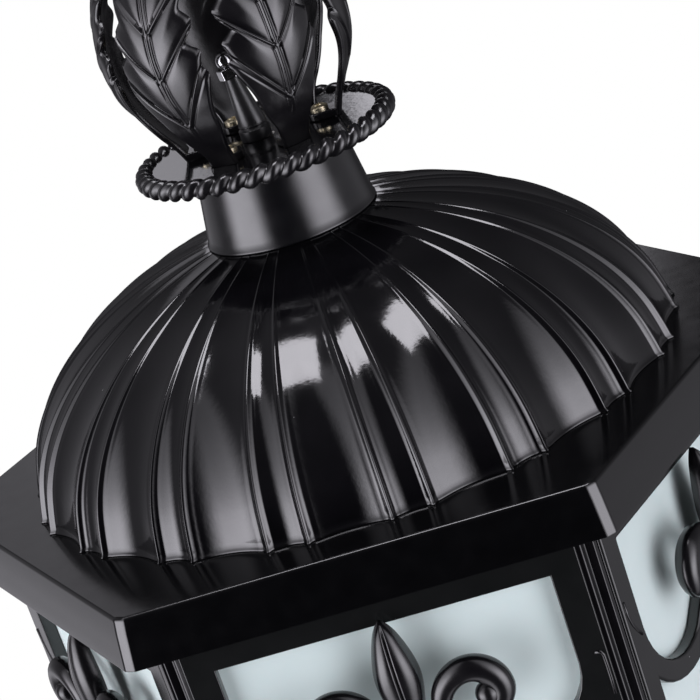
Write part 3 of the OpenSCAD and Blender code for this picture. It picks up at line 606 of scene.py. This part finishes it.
# Where each pair of veins leaves the midrib and where it reaches the edge, above the flange
VEIN_LOW = [21.5, 43.5, 62.5, 79, 93]
VEIN_HIGH = [45.5, 63, 79.5, 92.5, 101]
# The same with the leaf's foot and tip: the lobes lie between one and the next
LOBE_LOW = [0.0] + VEIN_LOW + [LEAF_H]
LOBE_HIGH = [0.0] + VEIN_HIGH + [LEAF_H]
LAST_LOBE = len(VEIN_LOW)
# Half width of a leaf's outline at heights above the flange: a lobe at each vein's end and a notch between
LEAF_EDGE = [(0, 6.0), (8, 7.0), (14, 9.6), (20, 11.9), (27, 13.9), (34, 16.8), (40, 19.6), (43, 20.0),
             (45.5, 18.6), (48.5, 19.2), (51.5, 20.0), (53.3, 18.6), (54.7, 16.2), (56.5, 14.9), (59, 16.8),
             (61.5, 18.5), (63.5, 19.2), (65.5, 18.6), (67.3, 16.8), (69.2, 15.0), (72, 15.6), (75, 16.8),
             (77.5, 17.2), (79.5, 16.4), (81, 14.4), (82.6, 12.9), (85.5, 13.2), (89, 13.9), (92, 13.4),
             (93.8, 11.2), (95.2, 9.8), (98, 10.0), (101, 9.4), (102.5, 7.6), (104, 6.0)]
# Distance of a leaf's face from the axis, at heights above the flange
LEAF_FACE = [(0, 33.6), (6.6, 36.4), (13, 40.1), (24, 45.6), (33, 49), (43, 50.9), (51.5, 51), (60, 50),
             (68, 48.4), (76, 46), (84, 42.6), (92, 38.2), (98, 34), (104, 28.6)]
# Radius that a leaf is curved to across its width
LEAF_BEND = 42.5
# The crown leans a little to the left between its flange and its cap
CROWN_LEAN = [(0, 0.5), (25, -0.9), (50, -2.1), (75, -1.6), (104, 0)]
# Small turns of single leaves in degrees: the front two and the back two stand closer together
LEAF_TURNS = {1: -2.0, 2: -7.0, 4: 2.0, 5: -2.0}
VEIN_H = 1.05
VEIN_HALF = 0.65
MIDRIB_H = 1.0
MIDRIB_HALF = 0.95
VEIN_FULLNESS = 0.7
# A little over 1, so that the veins curve up towards the edge
VEIN_CURVE = 1.06
# The groove beside a vein: its depth, and its place and width in half widths of the vein
VEIN_GROOVE = (0.4, 1.5, 0.5)
# The midrib rises out of the stalk between these heights
MIDRIB_START = 14
MIDRIB_FULL = 22
# The veins grow shallower where the leaf's half width is below this
FULL_RELIEF_WIDTH = 9
# The leaf swells between two veins by this, from this share of its full height at the midrib
PILLOW_H = 0.75
PILLOW_FULLNESS = 0.8
PILLOW_START = 0.1
# The face falls away towards the edge by this, from this share of the half width on
EDGE_FALL = 0.9
EDGE_START = 0.93
# The back comes forward by this at the edge, which thins the leaf there
EDGE_THINNING = 0.8
LEAF_COLUMNS = 44
ROWS_PER_MM = 1.15
LEAST_ROWS = 10
# Shares of the closer spacing near the veins, and near the midrib
VEIN_CROWDING = 0.65
MIDRIB_CROWDING = 0.45

# The foot under a stalk: a flat lug round the screw, with a toe in front
FOOT_HALF = 6.0
SCREW_RING_R = 25.5
TOE_R = 33.0
FOOT_H = 3.5
LUG_STEPS = 12
FOOT_EDGE = 0.7


def leaf_rows():
    """Rows of the leaf: height at the midrib, height at the edge, place in the lobe from 0 to 1, and lobe."""
    rows = []
    for k in range(LAST_LOBE + 1):
        count = max(LEAST_ROWS, int((LOBE_HIGH[k + 1] - LOBE_HIGH[k]) * ROWS_PER_MM))
        for i in range(count):
            f = between(i / count, 0.5 - 0.5 * cos(pi * i / count), VEIN_CROWDING)
            low = between(LOBE_LOW[k], LOBE_LOW[k + 1], f)
            high = between(LOBE_HIGH[k], LOBE_HIGH[k + 1], f)
            rows.append((low, high, f, k))
    rows.append((LEAF_H, LEAF_H, 0.5, LAST_LOBE))
    return rows


def vein_height(distance, half, height):
    return bead_and_groove(distance / half, height, *VEIN_GROOVE, VEIN_FULLNESS)


def leaf_point(row, u):
    """A point of the leaf's face: distance from the axis, angle in radians, height and relief."""
    low, high, f, k = row
    away = abs(u)
    z = low + (high - low) * away ** VEIN_CURVE
    half = smooth_table(LEAF_EDGE, high)
    y = u * half
    # Distance to the veins that bound this lobe, across them
    slope = (high - low) / max(half, 1)
    steep = 1 / sqrt(1 + slope * slope)
    length = between(LOBE_LOW[k + 1] - LOBE_LOW[k], LOBE_HIGH[k + 1] - LOBE_HIGH[k], away)
    relief = 0.0
    if k > 0:
        relief += vein_height(f * length * steep, VEIN_HALF, VEIN_H)
    if k < LAST_LOBE:
        relief += vein_height((1 - f) * length * steep, VEIN_HALF, VEIN_H)
    midrib = vein_height(y, MIDRIB_HALF, MIDRIB_H)
    if k == 0:
        midrib *= max(0.0, min(1.0, (z - MIDRIB_START) / (MIDRIB_FULL - MIDRIB_START)))
    relief = max(relief, midrib) if abs(y) < MIDRIB_HALF else relief + min(midrib, 0)
    if 0 < k < LAST_LOBE:
        relief += PILLOW_H * sin(pi * f) ** PILLOW_FULLNESS * sin(pi * between(PILLOW_START, 1, away))
    relief -= EDGE_FALL * max(0.0, (away - EDGE_START) / (1 - EDGE_START)) ** 2
    return smooth_table(LEAF_FACE, z), y / LEAF_BEND, z, relief * min(1.0, half / FULL_RELIEF_WIDTH)


def make_leaf(k):
    rows = leaf_rows()
    shares = [2 * j / LEAF_COLUMNS - 1 for j in range(LEAF_COLUMNS + 1)]
    columns = [between(x, x ** 3, MIDRIB_CROWDING) for x in shares]
    front = []
    back = []
    for row in rows:
        for u in columns:
            r, a, z, relief = leaf_point(row, u)
            r -= LEAF_BEND * (1 - cos(a))
            thick = LEAF_T - EDGE_THINNING * u ** 4
            front.append((r + relief, LEAF_BEND * sin(a), z))
            back.append((r - thick, (LEAF_BEND - thick) * sin(a), z))
    points = turned(front + back, k * STEP + LEAF_TURNS.get(k, 0))
    points = [(x + smooth_table(CROWN_LEAN, z), y, z + LEAF_FOOT) for x, y, z in points]
    blade = mesh_object(f"leaf_blade_{k + 1}", points, closed_sheet(len(rows), len(columns)))
    dress(crease(blade, 75), CAST, [f"leaf_{k + 1}"])
    make_leaf_foot(k)


def make_leaf_foot(k):
    outline = []
    for i in range(LUG_STEPS + 1):
        a = radians(90 + 180 * i / LUG_STEPS)
        outline.append((SCREW_RING_R + FOOT_HALF * cos(a), FOOT_HALF * sin(a)))
    outline += [(TOE_R, -FOOT_HALF), (TOE_R, FOOT_HALF)]
    n = len(outline)
    points = [(x, y, LEAF_FOOT + z) for z in (0, FOOT_H) for x, y in outline]
    faces = [tuple(range(n)), tuple(range(2 * n - 1, n - 1, -1))] + grid_faces(2, n, wrap=True)
    foot = mesh_object(f"leaf_foot_{k + 1}", turned(points, k * STEP), faces)
    round_edges(foot, FOOT_EDGE)
    dress(foot, CAST, [f"leaf_{k + 1}"])


# Eave: the profile runs from the opening over the top, round the edge, down the skirt and back inside

EAVE_R = 185
EAVE_APOTHEM = EAVE_R * cos(radians(STEP / 2))
EAVE_FLARE = 4.0
EAVE_WALL = 3.0
EAVE_HOLE_R = 60.0
# Width of the flat across each corner, and of the bevel on its edges
CORNER_FLAT = 4.4
CORNER_BEVEL = 0.8
EDGE_R = 1.6
EDGE_STEPS = 6
SKIRT_ROWS = 4
# The rounding at the skirt's foot, outside and inside
FOOT_ROUNDING = 0.6
INNER_ROUNDING = 0.4
# Width of the border between the edge and the row of points inside it
TOP_BORDER = 14
EAVE_POINTS = 2 * SIDES
HOLE_POINTS = 96


def eave_ring(apothem, z):
    """The points of a hexagon with cut corners."""
    points = []
    across = cos(radians(STEP / 2))
    for k in range(SIDES):
        middle = radians(k * STEP)
        for side in (-1, 1):
            facing = radians(k * STEP + side * STEP / 2) + side * pi / 2
            x = apothem / across * cos(middle) + CORNER_FLAT / 2 / across * cos(facing)
            y = apothem / across * sin(middle) + CORNER_FLAT / 2 / across * sin(facing)
            points.append((x, y, z))
    return points


def eave_profile():
    """Apothem and height of each ring of the eave's points."""
    skirt = -SKIRT_FOOT
    flare = EAVE_FLARE * cos(radians(STEP / 2)) / skirt
    foot = EAVE_APOTHEM + skirt * flare
    profile = [(EAVE_APOTHEM - TOP_BORDER, 0)]
    for i in range(EDGE_STEPS + 1):
        a = pi / 2 * (1 - i / EDGE_STEPS)
        profile.append((EAVE_APOTHEM - EDGE_R + EDGE_R * cos(a), -EDGE_R + EDGE_R * sin(a)))
    for i in range(1, SKIRT_ROWS + 1):
        z = -EDGE_R - (skirt - EDGE_R - FOOT_ROUNDING) * i / SKIRT_ROWS
        profile.append((EAVE_APOTHEM - z * flare, z))
    inside = foot - EAVE_WALL
    profile += [(foot - FOOT_ROUNDING / 3, SKIRT_FOOT + FOOT_ROUNDING / 4),
                (foot - FOOT_ROUNDING, SKIRT_FOOT),
                (inside + INNER_ROUNDING, SKIRT_FOOT),
                (inside, SKIRT_FOOT + INNER_ROUNDING),
                (EAVE_APOTHEM - EAVE_WALL + EAVE_WALL * flare, -EAVE_WALL)]
    return profile


def plate_faces(points, ring, hole):
    """Faces between a ring of the eave's points and the round hole. Both are named by their first point."""
    turns = [atan2(y, x) % (2 * pi) for x, y, z in points[ring:ring + EAVE_POINTS]]
    order = sorted(range(EAVE_POINTS), key=lambda i: turns[i])
    faces = []
    for m, here in enumerate(order):
        following = order[(m + 1) % EAVE_POINTS]
        end = turns[following] + (2 * pi if m == EAVE_POINTS - 1 else 0)
        first = int(round(turns[here] / (2 * pi) * HOLE_POINTS))
        last = int(round(end / (2 * pi) * HOLE_POINTS))
        inner = [hole + j % HOLE_POINTS for j in range(last, first - 1, -1)]
        faces.append((ring + here, ring + following, *inner))
    return faces


def corner_edges(bm):
    """The upright edges of the corners' flats, outside and inside the skirt."""
    edges = []
    for edge in bm.edges:
        start, end = (v.co for v in edge.verts)
        upright = abs((end - start).normalized().z) > 0.5
        if len(edge.link_faces) == 2 and upright and start.xy.length > EAVE_APOTHEM * MM:
            if edge.calc_face_angle() > radians(20):
                edges.append(edge)
    return edges


def make_eave():
    profile = eave_profile()
    points = []
    for apothem, z in profile:
        points += eave_ring(apothem, z)
    hole = len(points)
    for z in (0, -EAVE_WALL):
        points += [polar(EAVE_HOLE_R, 2 * pi * j / HOLE_POINTS, z) for j in range(HOLE_POINTS)]
    faces = grid_faces(len(profile), EAVE_POINTS, wrap=True)
    faces += plate_faces(points, 0, hole)
    faces += plate_faces(points, hole - EAVE_POINTS, hole + HOLE_POINTS)
    faces += grid_faces(2, HOLE_POINTS, wrap=True, start=hole)
    eave = mesh_object("eave_casting", points, faces)
    bm = bmesh.new()
    bm.from_mesh(eave.data)
    bevel(eave, bm, corner_edges(bm), CORNER_BEVEL, 4, False)
    dress(eave, FLAT_GLOSS, ["eave"])


# Sides: frames, posts and panes

SIDE_APOTHEM = -corner("frame_5", 0)[1]
SIDE_HALF = corner("frame_5", 1)[0]
# The raised ends of the arm's casting on the stiles: distance from the frame's edge, and height
RIGHT_END = [(-5.0, -73.0), (-2.6, -73.4), (-1.9, -75.0), (-1.8, -80.0), (-1.8, -86.0), (-2.0, -92.0)]
LEFT_END = [(2.2, -60.0), (2.6, -66.0), (4.0, -70.5), (6.4, -74.5), (8.6, -77.5)]
END_R = 0.75
END_SINK = 0.1
# A post's flats slope back by this much for each mm beyond half the nose's width, down to this depth
POST_SLOPE = 0.42
NOSE_HALF = 1.2
SLOPE_DEPTH = 6.0


def make_arm_ends(k):
    """The raised ends of the curved arm's casting, which lie on the stiles beside the posts."""
    parts = []
    for side, end in ((1, RIGHT_END), (-1, LEFT_END)):
        path = [(side * SIDE_HALF + x, z, END_R) for x, z in end]
        parts.append(tube_mesh(path, SIDE_APOTHEM - END_SINK, 10))
    points, faces = joined(parts)
    dress(mesh_object(f"arm_ends_{k}", on_side(points, k - 1), faces), GLOSS, [f"frame_{k}"])


def finished_post(k):
    """A post with rounded edges whose two flats slope back from the grooved nose."""
    post = softened(f"post_{k}", 0.5)
    points = [v.co.copy() for v in post.data.vertices]
    middle = sum(points, Vector()) / len(points)
    out = Vector((middle.x, middle.y, 0)).normalized()
    along = Vector((-out.y, out.x, 0))
    nose = max(p.dot(out) for p in points)
    for vertex in post.data.vertices:
        side = abs(vertex.co.dot(along))
        front = max(0.0, min(1.0, 1 - (nose - vertex.co.dot(out)) / (SLOPE_DEPTH * MM)))
        vertex.co -= out * (POST_SLOPE * front * max(0.0, side - NOSE_HALF * MM))
    return post


def make_sides():
    for k in range(1, SIDES + 1):
        dress(softened(f"frame_{k}", 1.5, 4), FRAME_BLACK, [f"frame_{k}"])
        dress(finished_post(k), GLOSS, [f"post_{k}"])
        make_arm_ends(k)
        dress(softened(f"pane_{k}", 0.4), GLASS, [f"pane_{k}"])


# Ornament: a ridged middle petal between two scrolls, with a binding band and a pad below

ORNAMENT_BACK = SIDE_APOTHEM + 3.0
# Middle petal: distance below the eave's top, half width, thickness at the ridge
PETAL = [(34.0, 0.5, 2.0), (36.5, 2.6, 4.2), (40, 4.6, 6.2), (47, 7.0, 8.6), (54, 8.6, 9.8),
         (60, 9.0, 10), (66, 8.2, 9.6), (73, 6.6, 8.8), (80, 5.4, 8), (90, 4.8, 7)]
PETAL_ROWS = 48
PETAL_COLUMNS = 32
# Over 1, so that the columns lie closer together near the ridge
PETAL_CROWDING = 1.4
# The petal's section across its width, and the dip of its ridge as a share of its thickness
PETAL_FULLNESS = 2.2
RIDGE_DIP = 0.04
# Thickness of the petal's rim as a share of the ridge's, and the fine groove along the ridge
PETAL_RIM = 0.22
PETAL_GROOVE = 1.3
PETAL_GROOVE_HALF = 0.45
SCROLL_Y = ORNAMENT_BACK + 5.2
SCROLL_CENTRE = (26.0, -72.0)
SCROLL_R = 10.3
SCROLL_STEPS = 64
# Where the scroll starts and how far it turns, in degrees, and the share of it that is nearly a circle
SCROLL_START = 205
SCROLL_TURN = 330
SCROLL_OPEN = 0.62
# How much further the scroll reaches out at its start
SCROLL_FLARE = 2.6
# Radius of the scroll's bar, its swelling over the top and its thinning towards the eye
BAR_R = 3.6
BAR_SWELL = 2.0
BAR_THINNING = 0.9
SCROLL_ROOT = (7.0, -86.0)
ROOT_R = 3.9
ROOT_STEPS = 12
ROOT_ARCH = 1.6
EYE_R = 5.0
EYE_OFFSET = (5.2, 0.8, -0.6)
# Band and pad: half width, how far they stand out from the frame, lowest and highest level, rounding, steps
BAND = (14, 15.2, -90, -81, 1.6, 4)
PAD = (8.0, 6.0, -104.6, -86, 0.8, 3)


def petal_mesh():
    widths = [(low, half) for low, half, thick in PETAL]
    ridges = [(low, thick) for low, half, thick in PETAL]
    front = []
    for i in range(PETAL_ROWS + 1):
        low = between(PETAL[0][0], PETAL[-1][0], i / PETAL_ROWS)
        half = smooth_table(widths, low)
        thick = smooth_table(ridges, low)
        for j in range(PETAL_COLUMNS + 1):
            share = 2 * j / PETAL_COLUMNS - 1
            away = abs(share) ** PETAL_CROWDING
            x = half * away if share > 0 else -half * away
            crown = sqrt(max(0, 1 - away ** PETAL_FULLNESS)) * (1 - RIDGE_DIP * (1 - away) ** 2)
            groove = PETAL_GROOVE * np.exp(-(x / PETAL_GROOVE_HALF) ** 2) * min(1, i / 6)
            front.append((x, groove - ORNAMENT_BACK - thick * between(PETAL_RIM, 1, crown), -low))
    back = [(x, -ORNAMENT_BACK, z) for x, y, z in front]
    return front + back, closed_sheet(PETAL_ROWS + 1, PETAL_COLUMNS + 1)


def scroll_path(side):
    """Middle line of a scroll with its radius: up from the root, over the top and curled in to the eye."""
    path = []
    cx, cz = SCROLL_CENTRE
    for i in range(SCROLL_STEPS + 1):
        t = i / SCROLL_STEPS
        angle = radians(SCROLL_START - SCROLL_TURN * t)
        reach = SCROLL_R * (1.12 - 0.1 * t if t < SCROLL_OPEN else 1.058 - 1.15 * (t - SCROLL_OPEN))
        reach += SCROLL_FLARE * max(0, 1 - t / 0.25) ** 2
        radius = BAR_R + BAR_SWELL * sin(pi * min(1, t / 0.95)) - BAR_THINNING * max(0, t - 0.7) / 0.3
        path.append((side * (cx + reach * cos(angle)), cz + reach * sin(angle), radius))
    start_x, start_z, start_r = path[0]
    root_x, root_z = SCROLL_ROOT
    lead = []
    for i in range(ROOT_STEPS):
        t = i / ROOT_STEPS
        z = between(root_z, start_z, t) + ROOT_ARCH * sin(pi * t)
        lead.append((between(side * root_x, start_x, t), z, between(ROOT_R, start_r, t)))
    return lead + path


def make_block(name, k, size, sink):
    """A block with rounded edges across the foot of an ornament. It sinks a little into the frame."""
    half, out, low_z, high_z, rounding, segments = size
    points, faces = box_mesh((-half, -(SIDE_APOTHEM + out), low_z), (half, -(SIDE_APOTHEM - sink), high_z))
    block = mesh_object(f"{name}_{k + 1}", on_side(points, k), faces)
    round_edges(block, rounding, segments)
    dress(block, CAST, [f"ornament_{k + 1}"])


def make_ornament(k):
    parts = [petal_mesh()]
    aside, out, up = EYE_OFFSET
    for side in (-1, 1):
        parts.append(tube_mesh(scroll_path(side), SCROLL_Y))
        eye = (side * (SCROLL_CENTRE[0] + aside), -SCROLL_Y - out, SCROLL_CENTRE[1] + up)
        parts.append(ball_mesh(eye, EYE_R))
    points, faces = joined(parts)
    ornament = mesh_object(f"fleur_{k + 1}", on_side(points, k), faces)
    dress(crease(ornament, 60), CAST, [f"ornament_{k + 1}"])
    make_block("fleur_band", k, BAND, 0.2)
    make_block("fleur_pad", k, PAD, 0.1)


# Stem in the crown

STEM_X = -2.6
PLINTH_R = 6.6
PLINTH_H = 7.0
# The plinth's turned neck: distance in from its side, and below its top
PLINTH_NECK = [(0.0, 2.4), (0.6, 1.9), (0.9, 1.3), (0.5, 0.7), (0.7, 0.2), (1.1, 0.0)]
CONE_R = 5.9
CONE_TOP_R = 3.2
CONE_H = 20.5
CONE_LEAN = 5.5
CONE_ROWS = 8
NUT_H = 4.5
BALL_R = 3.7
BALL_SINK = 0.8
BALL_ROWS = 24
STEM_SEGMENTS = 64
BALL_SEGMENTS = 48
# A turned piece starts this far from its axis
AXIS_GAP = 0.01


def leaning(obj):
    """Leans a piece of the stem about the middle of the plinth's top."""
    foot = Vector((STEM_X, 0, EAVE_TOP + LEAF_FOOT + PLINTH_H)) * MM
    lean = Matrix.Translation(foot) @ Matrix.Rotation(radians(-CONE_LEAN), 4, "Y") @ Matrix.Translation(-foot)
    obj.data.transform(lean)
    return obj


def make_stem():
    top = LEAF_FOOT + PLINTH_H
    plinth = [(AXIS_GAP, LEAF_FOOT), (PLINTH_R - 0.4, LEAF_FOOT), (PLINTH_R, LEAF_FOOT + 0.4)]
    plinth += [(PLINTH_R - inward, top - below) for inward, below in PLINTH_NECK]
    plinth.append((AXIS_GAP, top))
    foot = crease(lathe("stem_plinth", plinth, STEM_SEGMENTS, STEM_X), 50)
    dress(foot, SATIN, ["stem_cone"])
    cone = [(AXIS_GAP, top - 1), (CONE_R, top - 1), (CONE_R, top + 0.3)]
    for i in range(1, CONE_ROWS + 1):
        t = i / CONE_ROWS
        cone.append((between(CONE_R, CONE_TOP_R, t), top + CONE_H * t))
    cone.append((AXIS_GAP, top + CONE_H))
    shaft = crease(leaning(lathe("stem_shaft", cone, STEM_SEGMENTS, STEM_X)), 50)
    dress(shaft, SATIN, ["stem_cone"])
    # The nut and the ball get the grey metal as painted sheen, brighter than their black paint
    dress(softened("stem_nut", 0.45), PAINTED_SHEEN_METAL, ["stem_nut"])
    centre = top + CONE_H + NUT_H + BALL_R - BALL_SINK
    ball = []
    for i in range(BALL_ROWS + 1):
        tilt = pi * i / BALL_ROWS
        ball.append((max(AXIS_GAP, BALL_R * sin(tilt)), centre - BALL_R * cos(tilt)))
    dress(leaning(lathe("stem_bead", ball, BALL_SEGMENTS, STEM_X)), PAINTED_SHEEN_METAL, ["stem_ball"])


# Ring that the lantern hangs from

RING_ROWS = 96
RING_COLUMNS = 32


def make_ring():
    low = corner("hanging_ring", 0)
    high = corner("hanging_ring", 1)
    bar = (high[1] - low[1]) / 2
    ring_r = (high[0] - low[0]) / 2 - bar
    middle = (high[2] + low[2]) / 2 - EAVE_TOP
    points = []
    for i in range(RING_ROWS):
        a = 2 * pi * i / RING_ROWS
        for j in range(RING_COLUMNS):
            b = 2 * pi * j / RING_COLUMNS
            r = ring_r + bar * cos(b)
            points.append((r * cos(a), bar * sin(b), middle + r * sin(a)))
    ring = mesh_object("ring_bar", points, ring_faces(RING_ROWS, RING_COLUMNS))
    dress(ring, GLOSS, ["hanging_ring"], "ring")


# Small and hidden pieces keep their CAD form, with rounded edges: material, slot and rounding

FINISHES = {
    "crown_cap": (GLOSS, "gloss_black", 0.8),
    "top_eye": (GLOSS, "gloss_black", 0.8),
    "eye_nut": (ZINC, "zinc_steel", 0.4),
    "leaf_screws": (SCREW_ZINC, "zinc_screws", 0.25),
    "threaded_tube": (ZINC, "zinc_steel", 0.2),
    "tube_nut": (ZINC, "zinc_steel", 0.5),
    "holder_bracket": (ZINC, "zinc_steel", 0.5),
    "lampholder_body": (PORCELAIN, "porcelain", 0.8),
    "lampholder_shell": (BRASS, "brass", 0.1),
    "lampholder_contact": (BRASS, "brass", 0.3),
    "bulb": (OPAL, "opal_bulb", 0.3),
    "head_ring": (SATIN, "satin_black", 0.5),
    "head_screws": (ZINC, "zinc_steel", 0.25),
    "pane_clips": (ZINC, "zinc_steel", 0.2),
    "foot_ring": (SATIN, "satin_black", 0.5),
    "foot_screws": (ZINC, "zinc_steel", 0.25),
    "base_plate": (GLOSS, "gloss_black", 1.2),
    "base_boss": (GLOSS, "gloss_black", 0.8),
    "base_rod": (ZINC, "zinc_steel", 0.3),
    "base_nut": (ZINC, "zinc_steel", 0.5),
    "finial": (GLOSS, "gloss_black", 0.6),
}


def make_rest():
    for node, (material, slot, rounding) in FINISHES.items():
        dress(softened(node, rounding), material, [node])


make_dome()
make_collar()
make_flange()
for index in range(SIDES):
    make_leaf(index)
    make_ornament(index)
make_eave()
make_sides()
make_stem()
make_rest()
make_ring()


# Stage, light and camera


def maths(tree, operation, *values):
    """A math node. Each value is a number or the output of another node."""
    node = tree.nodes.new("ShaderNodeMath")
    node.operation = operation
    for socket, value in zip(node.inputs, values):
        if isinstance(value, (int, float)):
            socket.default_value = value
        else:
            tree.links.new(value, socket)
    return node.outputs["Value"]


def window(tree, angle, centre, half, soft):
    """1 within so many degrees of a centre, falling smoothly to 0 over the soft margin."""
    away = maths(tree, "WRAP", maths(tree, "SUBTRACT", angle, radians(centre)), pi, -pi)
    node = tree.nodes.new("ShaderNodeMapRange")
    node.interpolation_type = "SMOOTHSTEP"
    node.inputs["From Min"].default_value = radians(half + soft)
    node.inputs["From Max"].default_value = radians(half)
    tree.links.new(maths(tree, "ABSOLUTE", away), node.inputs["Value"])
    return node.outputs["Result"]


def spread(tree, elevation, centre, width):
    """Falls off above and below a centre height, to one half at so many degrees from it."""
    away = maths(tree, "DIVIDE", maths(tree, "SUBTRACT", elevation, radians(centre)), radians(width))
    return maths(tree, "DIVIDE", 1.0, maths(tree, "ADD", maths(tree, "MULTIPLY", away, away), 1.0))


# The studio's walls: azimuth, half width, soft margin, height, spread in height and strength
LEFT_WALL = (-146, 12, 22, -5, 24, 5.0)
RIGHT_WALL = (-38, 6, 28, -5, 26, 4.4)
FAR_LEFT_GLOW = (175, 30, 45, 20, 60, 0.14)
RIGHT_GLOW = (10, 20, 35, -15, 30, 0.3)
FLOOR_GLOW = (142, 12, 16, -22, 10, 0.55)
# Small ones low behind the lantern: azimuth, half width, soft margin, the same in height, and strength
DISC_GLOW_1 = (101, 2.2, 1.2, 13, 3, 4, 0.7)
DISC_GLOW_2 = (92, 2.4, 1.0, 13, 3, 4, 1.4)
EAVE_GLOW = (105, 6, 5, 22, 4, 5, 0.3)
AMBIENT = 0.05
STUDIO_COLOUR = (1.0, 0.98, 1.06, 1)
# The dark space round the camera: azimuth, half width, soft margin, and its reach in height
DARK = (-97, 24, 16, -5, 30)


def set_world():
    """A studio seen in reflections only. To the camera the world is plain white."""
    world = bpy.data.worlds.new("studio")
    bpy.context.scene.world = world
    world.use_nodes = True
    tree = world.node_tree
    tree.nodes.clear()
    place = tree.nodes.new("ShaderNodeTexCoord")
    split = tree.nodes.new("ShaderNodeSeparateXYZ")
    tree.links.new(place.outputs["Generated"], split.inputs["Vector"])
    azimuth = maths(tree, "ARCTAN2", split.outputs["Y"], split.outputs["X"])
    elevation = maths(tree, "ARCSINE", split.outputs["Z"])
    total = None
    glows = (LEFT_WALL, RIGHT_WALL, FAR_LEFT_GLOW, RIGHT_GLOW, FLOOR_GLOW)
    for centre, half, soft, height, width, strength in glows:
        glow = maths(tree, "MULTIPLY", window(tree, azimuth, centre, half, soft),
                     spread(tree, elevation, height, width))
        glow = maths(tree, "MULTIPLY", glow, strength)
        total = glow if total is None else maths(tree, "ADD", total, glow)
    small_glows = (DISC_GLOW_1, DISC_GLOW_2, EAVE_GLOW)
    for centre, half, soft, height, half_height, soft_height, strength in small_glows:
        glow = maths(tree, "MULTIPLY", window(tree, azimuth, centre, half, soft),
                     window(tree, elevation, height, half_height, soft_height))
        total = maths(tree, "ADD", total, maths(tree, "MULTIPLY", glow, strength))
    centre, half, soft, height, width = DARK
    dark = maths(tree, "MULTIPLY", window(tree, azimuth, centre, half, soft),
                 spread(tree, elevation, height, width))
    total = maths(tree, "ADD", total, maths(tree, "MULTIPLY", maths(tree, "SUBTRACT", 1.0, dark), AMBIENT))
    path = tree.nodes.new("ShaderNodeLightPath")
    lit = tree.nodes.new("ShaderNodeBackground")
    lit.inputs["Color"].default_value = STUDIO_COLOUR
    tree.links.new(total, lit.inputs["Strength"])
    seen = tree.nodes.new("ShaderNodeBackground")
    seen.inputs["Color"].default_value = (1, 1, 1, 1)
    seen.inputs["Strength"].default_value = 1.0
    mix = tree.nodes.new("ShaderNodeMixShader")
    out = tree.nodes.new("ShaderNodeOutputWorld")
    tree.links.new(path.outputs["Is Camera Ray"], mix.inputs["Fac"])
    tree.links.new(lit.outputs["Background"], mix.inputs[1])
    tree.links.new(seen.outputs["Background"], mix.inputs[2])
    tree.links.new(mix.outputs["Shader"], out.inputs["Surface"])


# The softbox above: place, width, depth and power. An area light without a turn shines straight down
SOFTBOX_PLACE = (0.02, -0.12, 1.2)
SOFTBOX_SIZE = (0.84, 0.52)
SOFTBOX_POWER = 10.2
SOFTBOX_COLOUR = (1, 0.98, 1.05)


def make_softbox():
    data = bpy.data.lights.new("top_soft", "AREA")
    data.shape = "RECTANGLE"
    data.size, data.size_y = SOFTBOX_SIZE
    data.energy = SOFTBOX_POWER
    data.color = SOFTBOX_COLOUR
    lamp = bpy.data.objects.new("top_soft", data)
    lamp.location = SOFTBOX_PLACE
    bpy.context.scene.collection.objects.link(lamp)


# Camera: azimuth from -Y towards +X, height above the horizon and roll in degrees, and place in metres
CAMERA_AZIMUTH = 8.01
CAMERA_HEIGHT = 18.92
CAMERA_ROLL = -19.29
CAMERA_PLACE = (0.1246, -1.0133, 0.0742)
CAMERA_LENS = 130.56
CAMERA_SHIFT = (0.0753, 0.0190)


def make_camera():
    azimuth = radians(CAMERA_AZIMUTH)
    elevation = radians(CAMERA_HEIGHT)
    roll = radians(CAMERA_ROLL)
    back = Vector((sin(azimuth) * cos(elevation), -cos(azimuth) * cos(elevation), sin(elevation)))
    level = Vector((cos(azimuth), sin(azimuth), 0))
    upright = back.cross(level)
    right = level * cos(roll) + upright * sin(roll)
    up = upright * cos(roll) - level * sin(roll)
    data = bpy.data.cameras.new("camera")
    data.lens = CAMERA_LENS
    data.sensor_width = 36
    data.shift_x, data.shift_y = CAMERA_SHIFT
    data.clip_start = 0.01
    data.clip_end = 50
    camera = bpy.data.objects.new("camera", data)
    bpy.context.scene.collection.objects.link(camera)
    turn = Matrix((right, up, back)).transposed()
    camera.matrix_world = Matrix.Translation(CAMERA_PLACE) @ turn.to_4x4()
    bpy.context.scene.camera = camera


make_camera()
set_world()
make_softbox()
bpy.context.scene.view_settings.view_transform = "Standard"
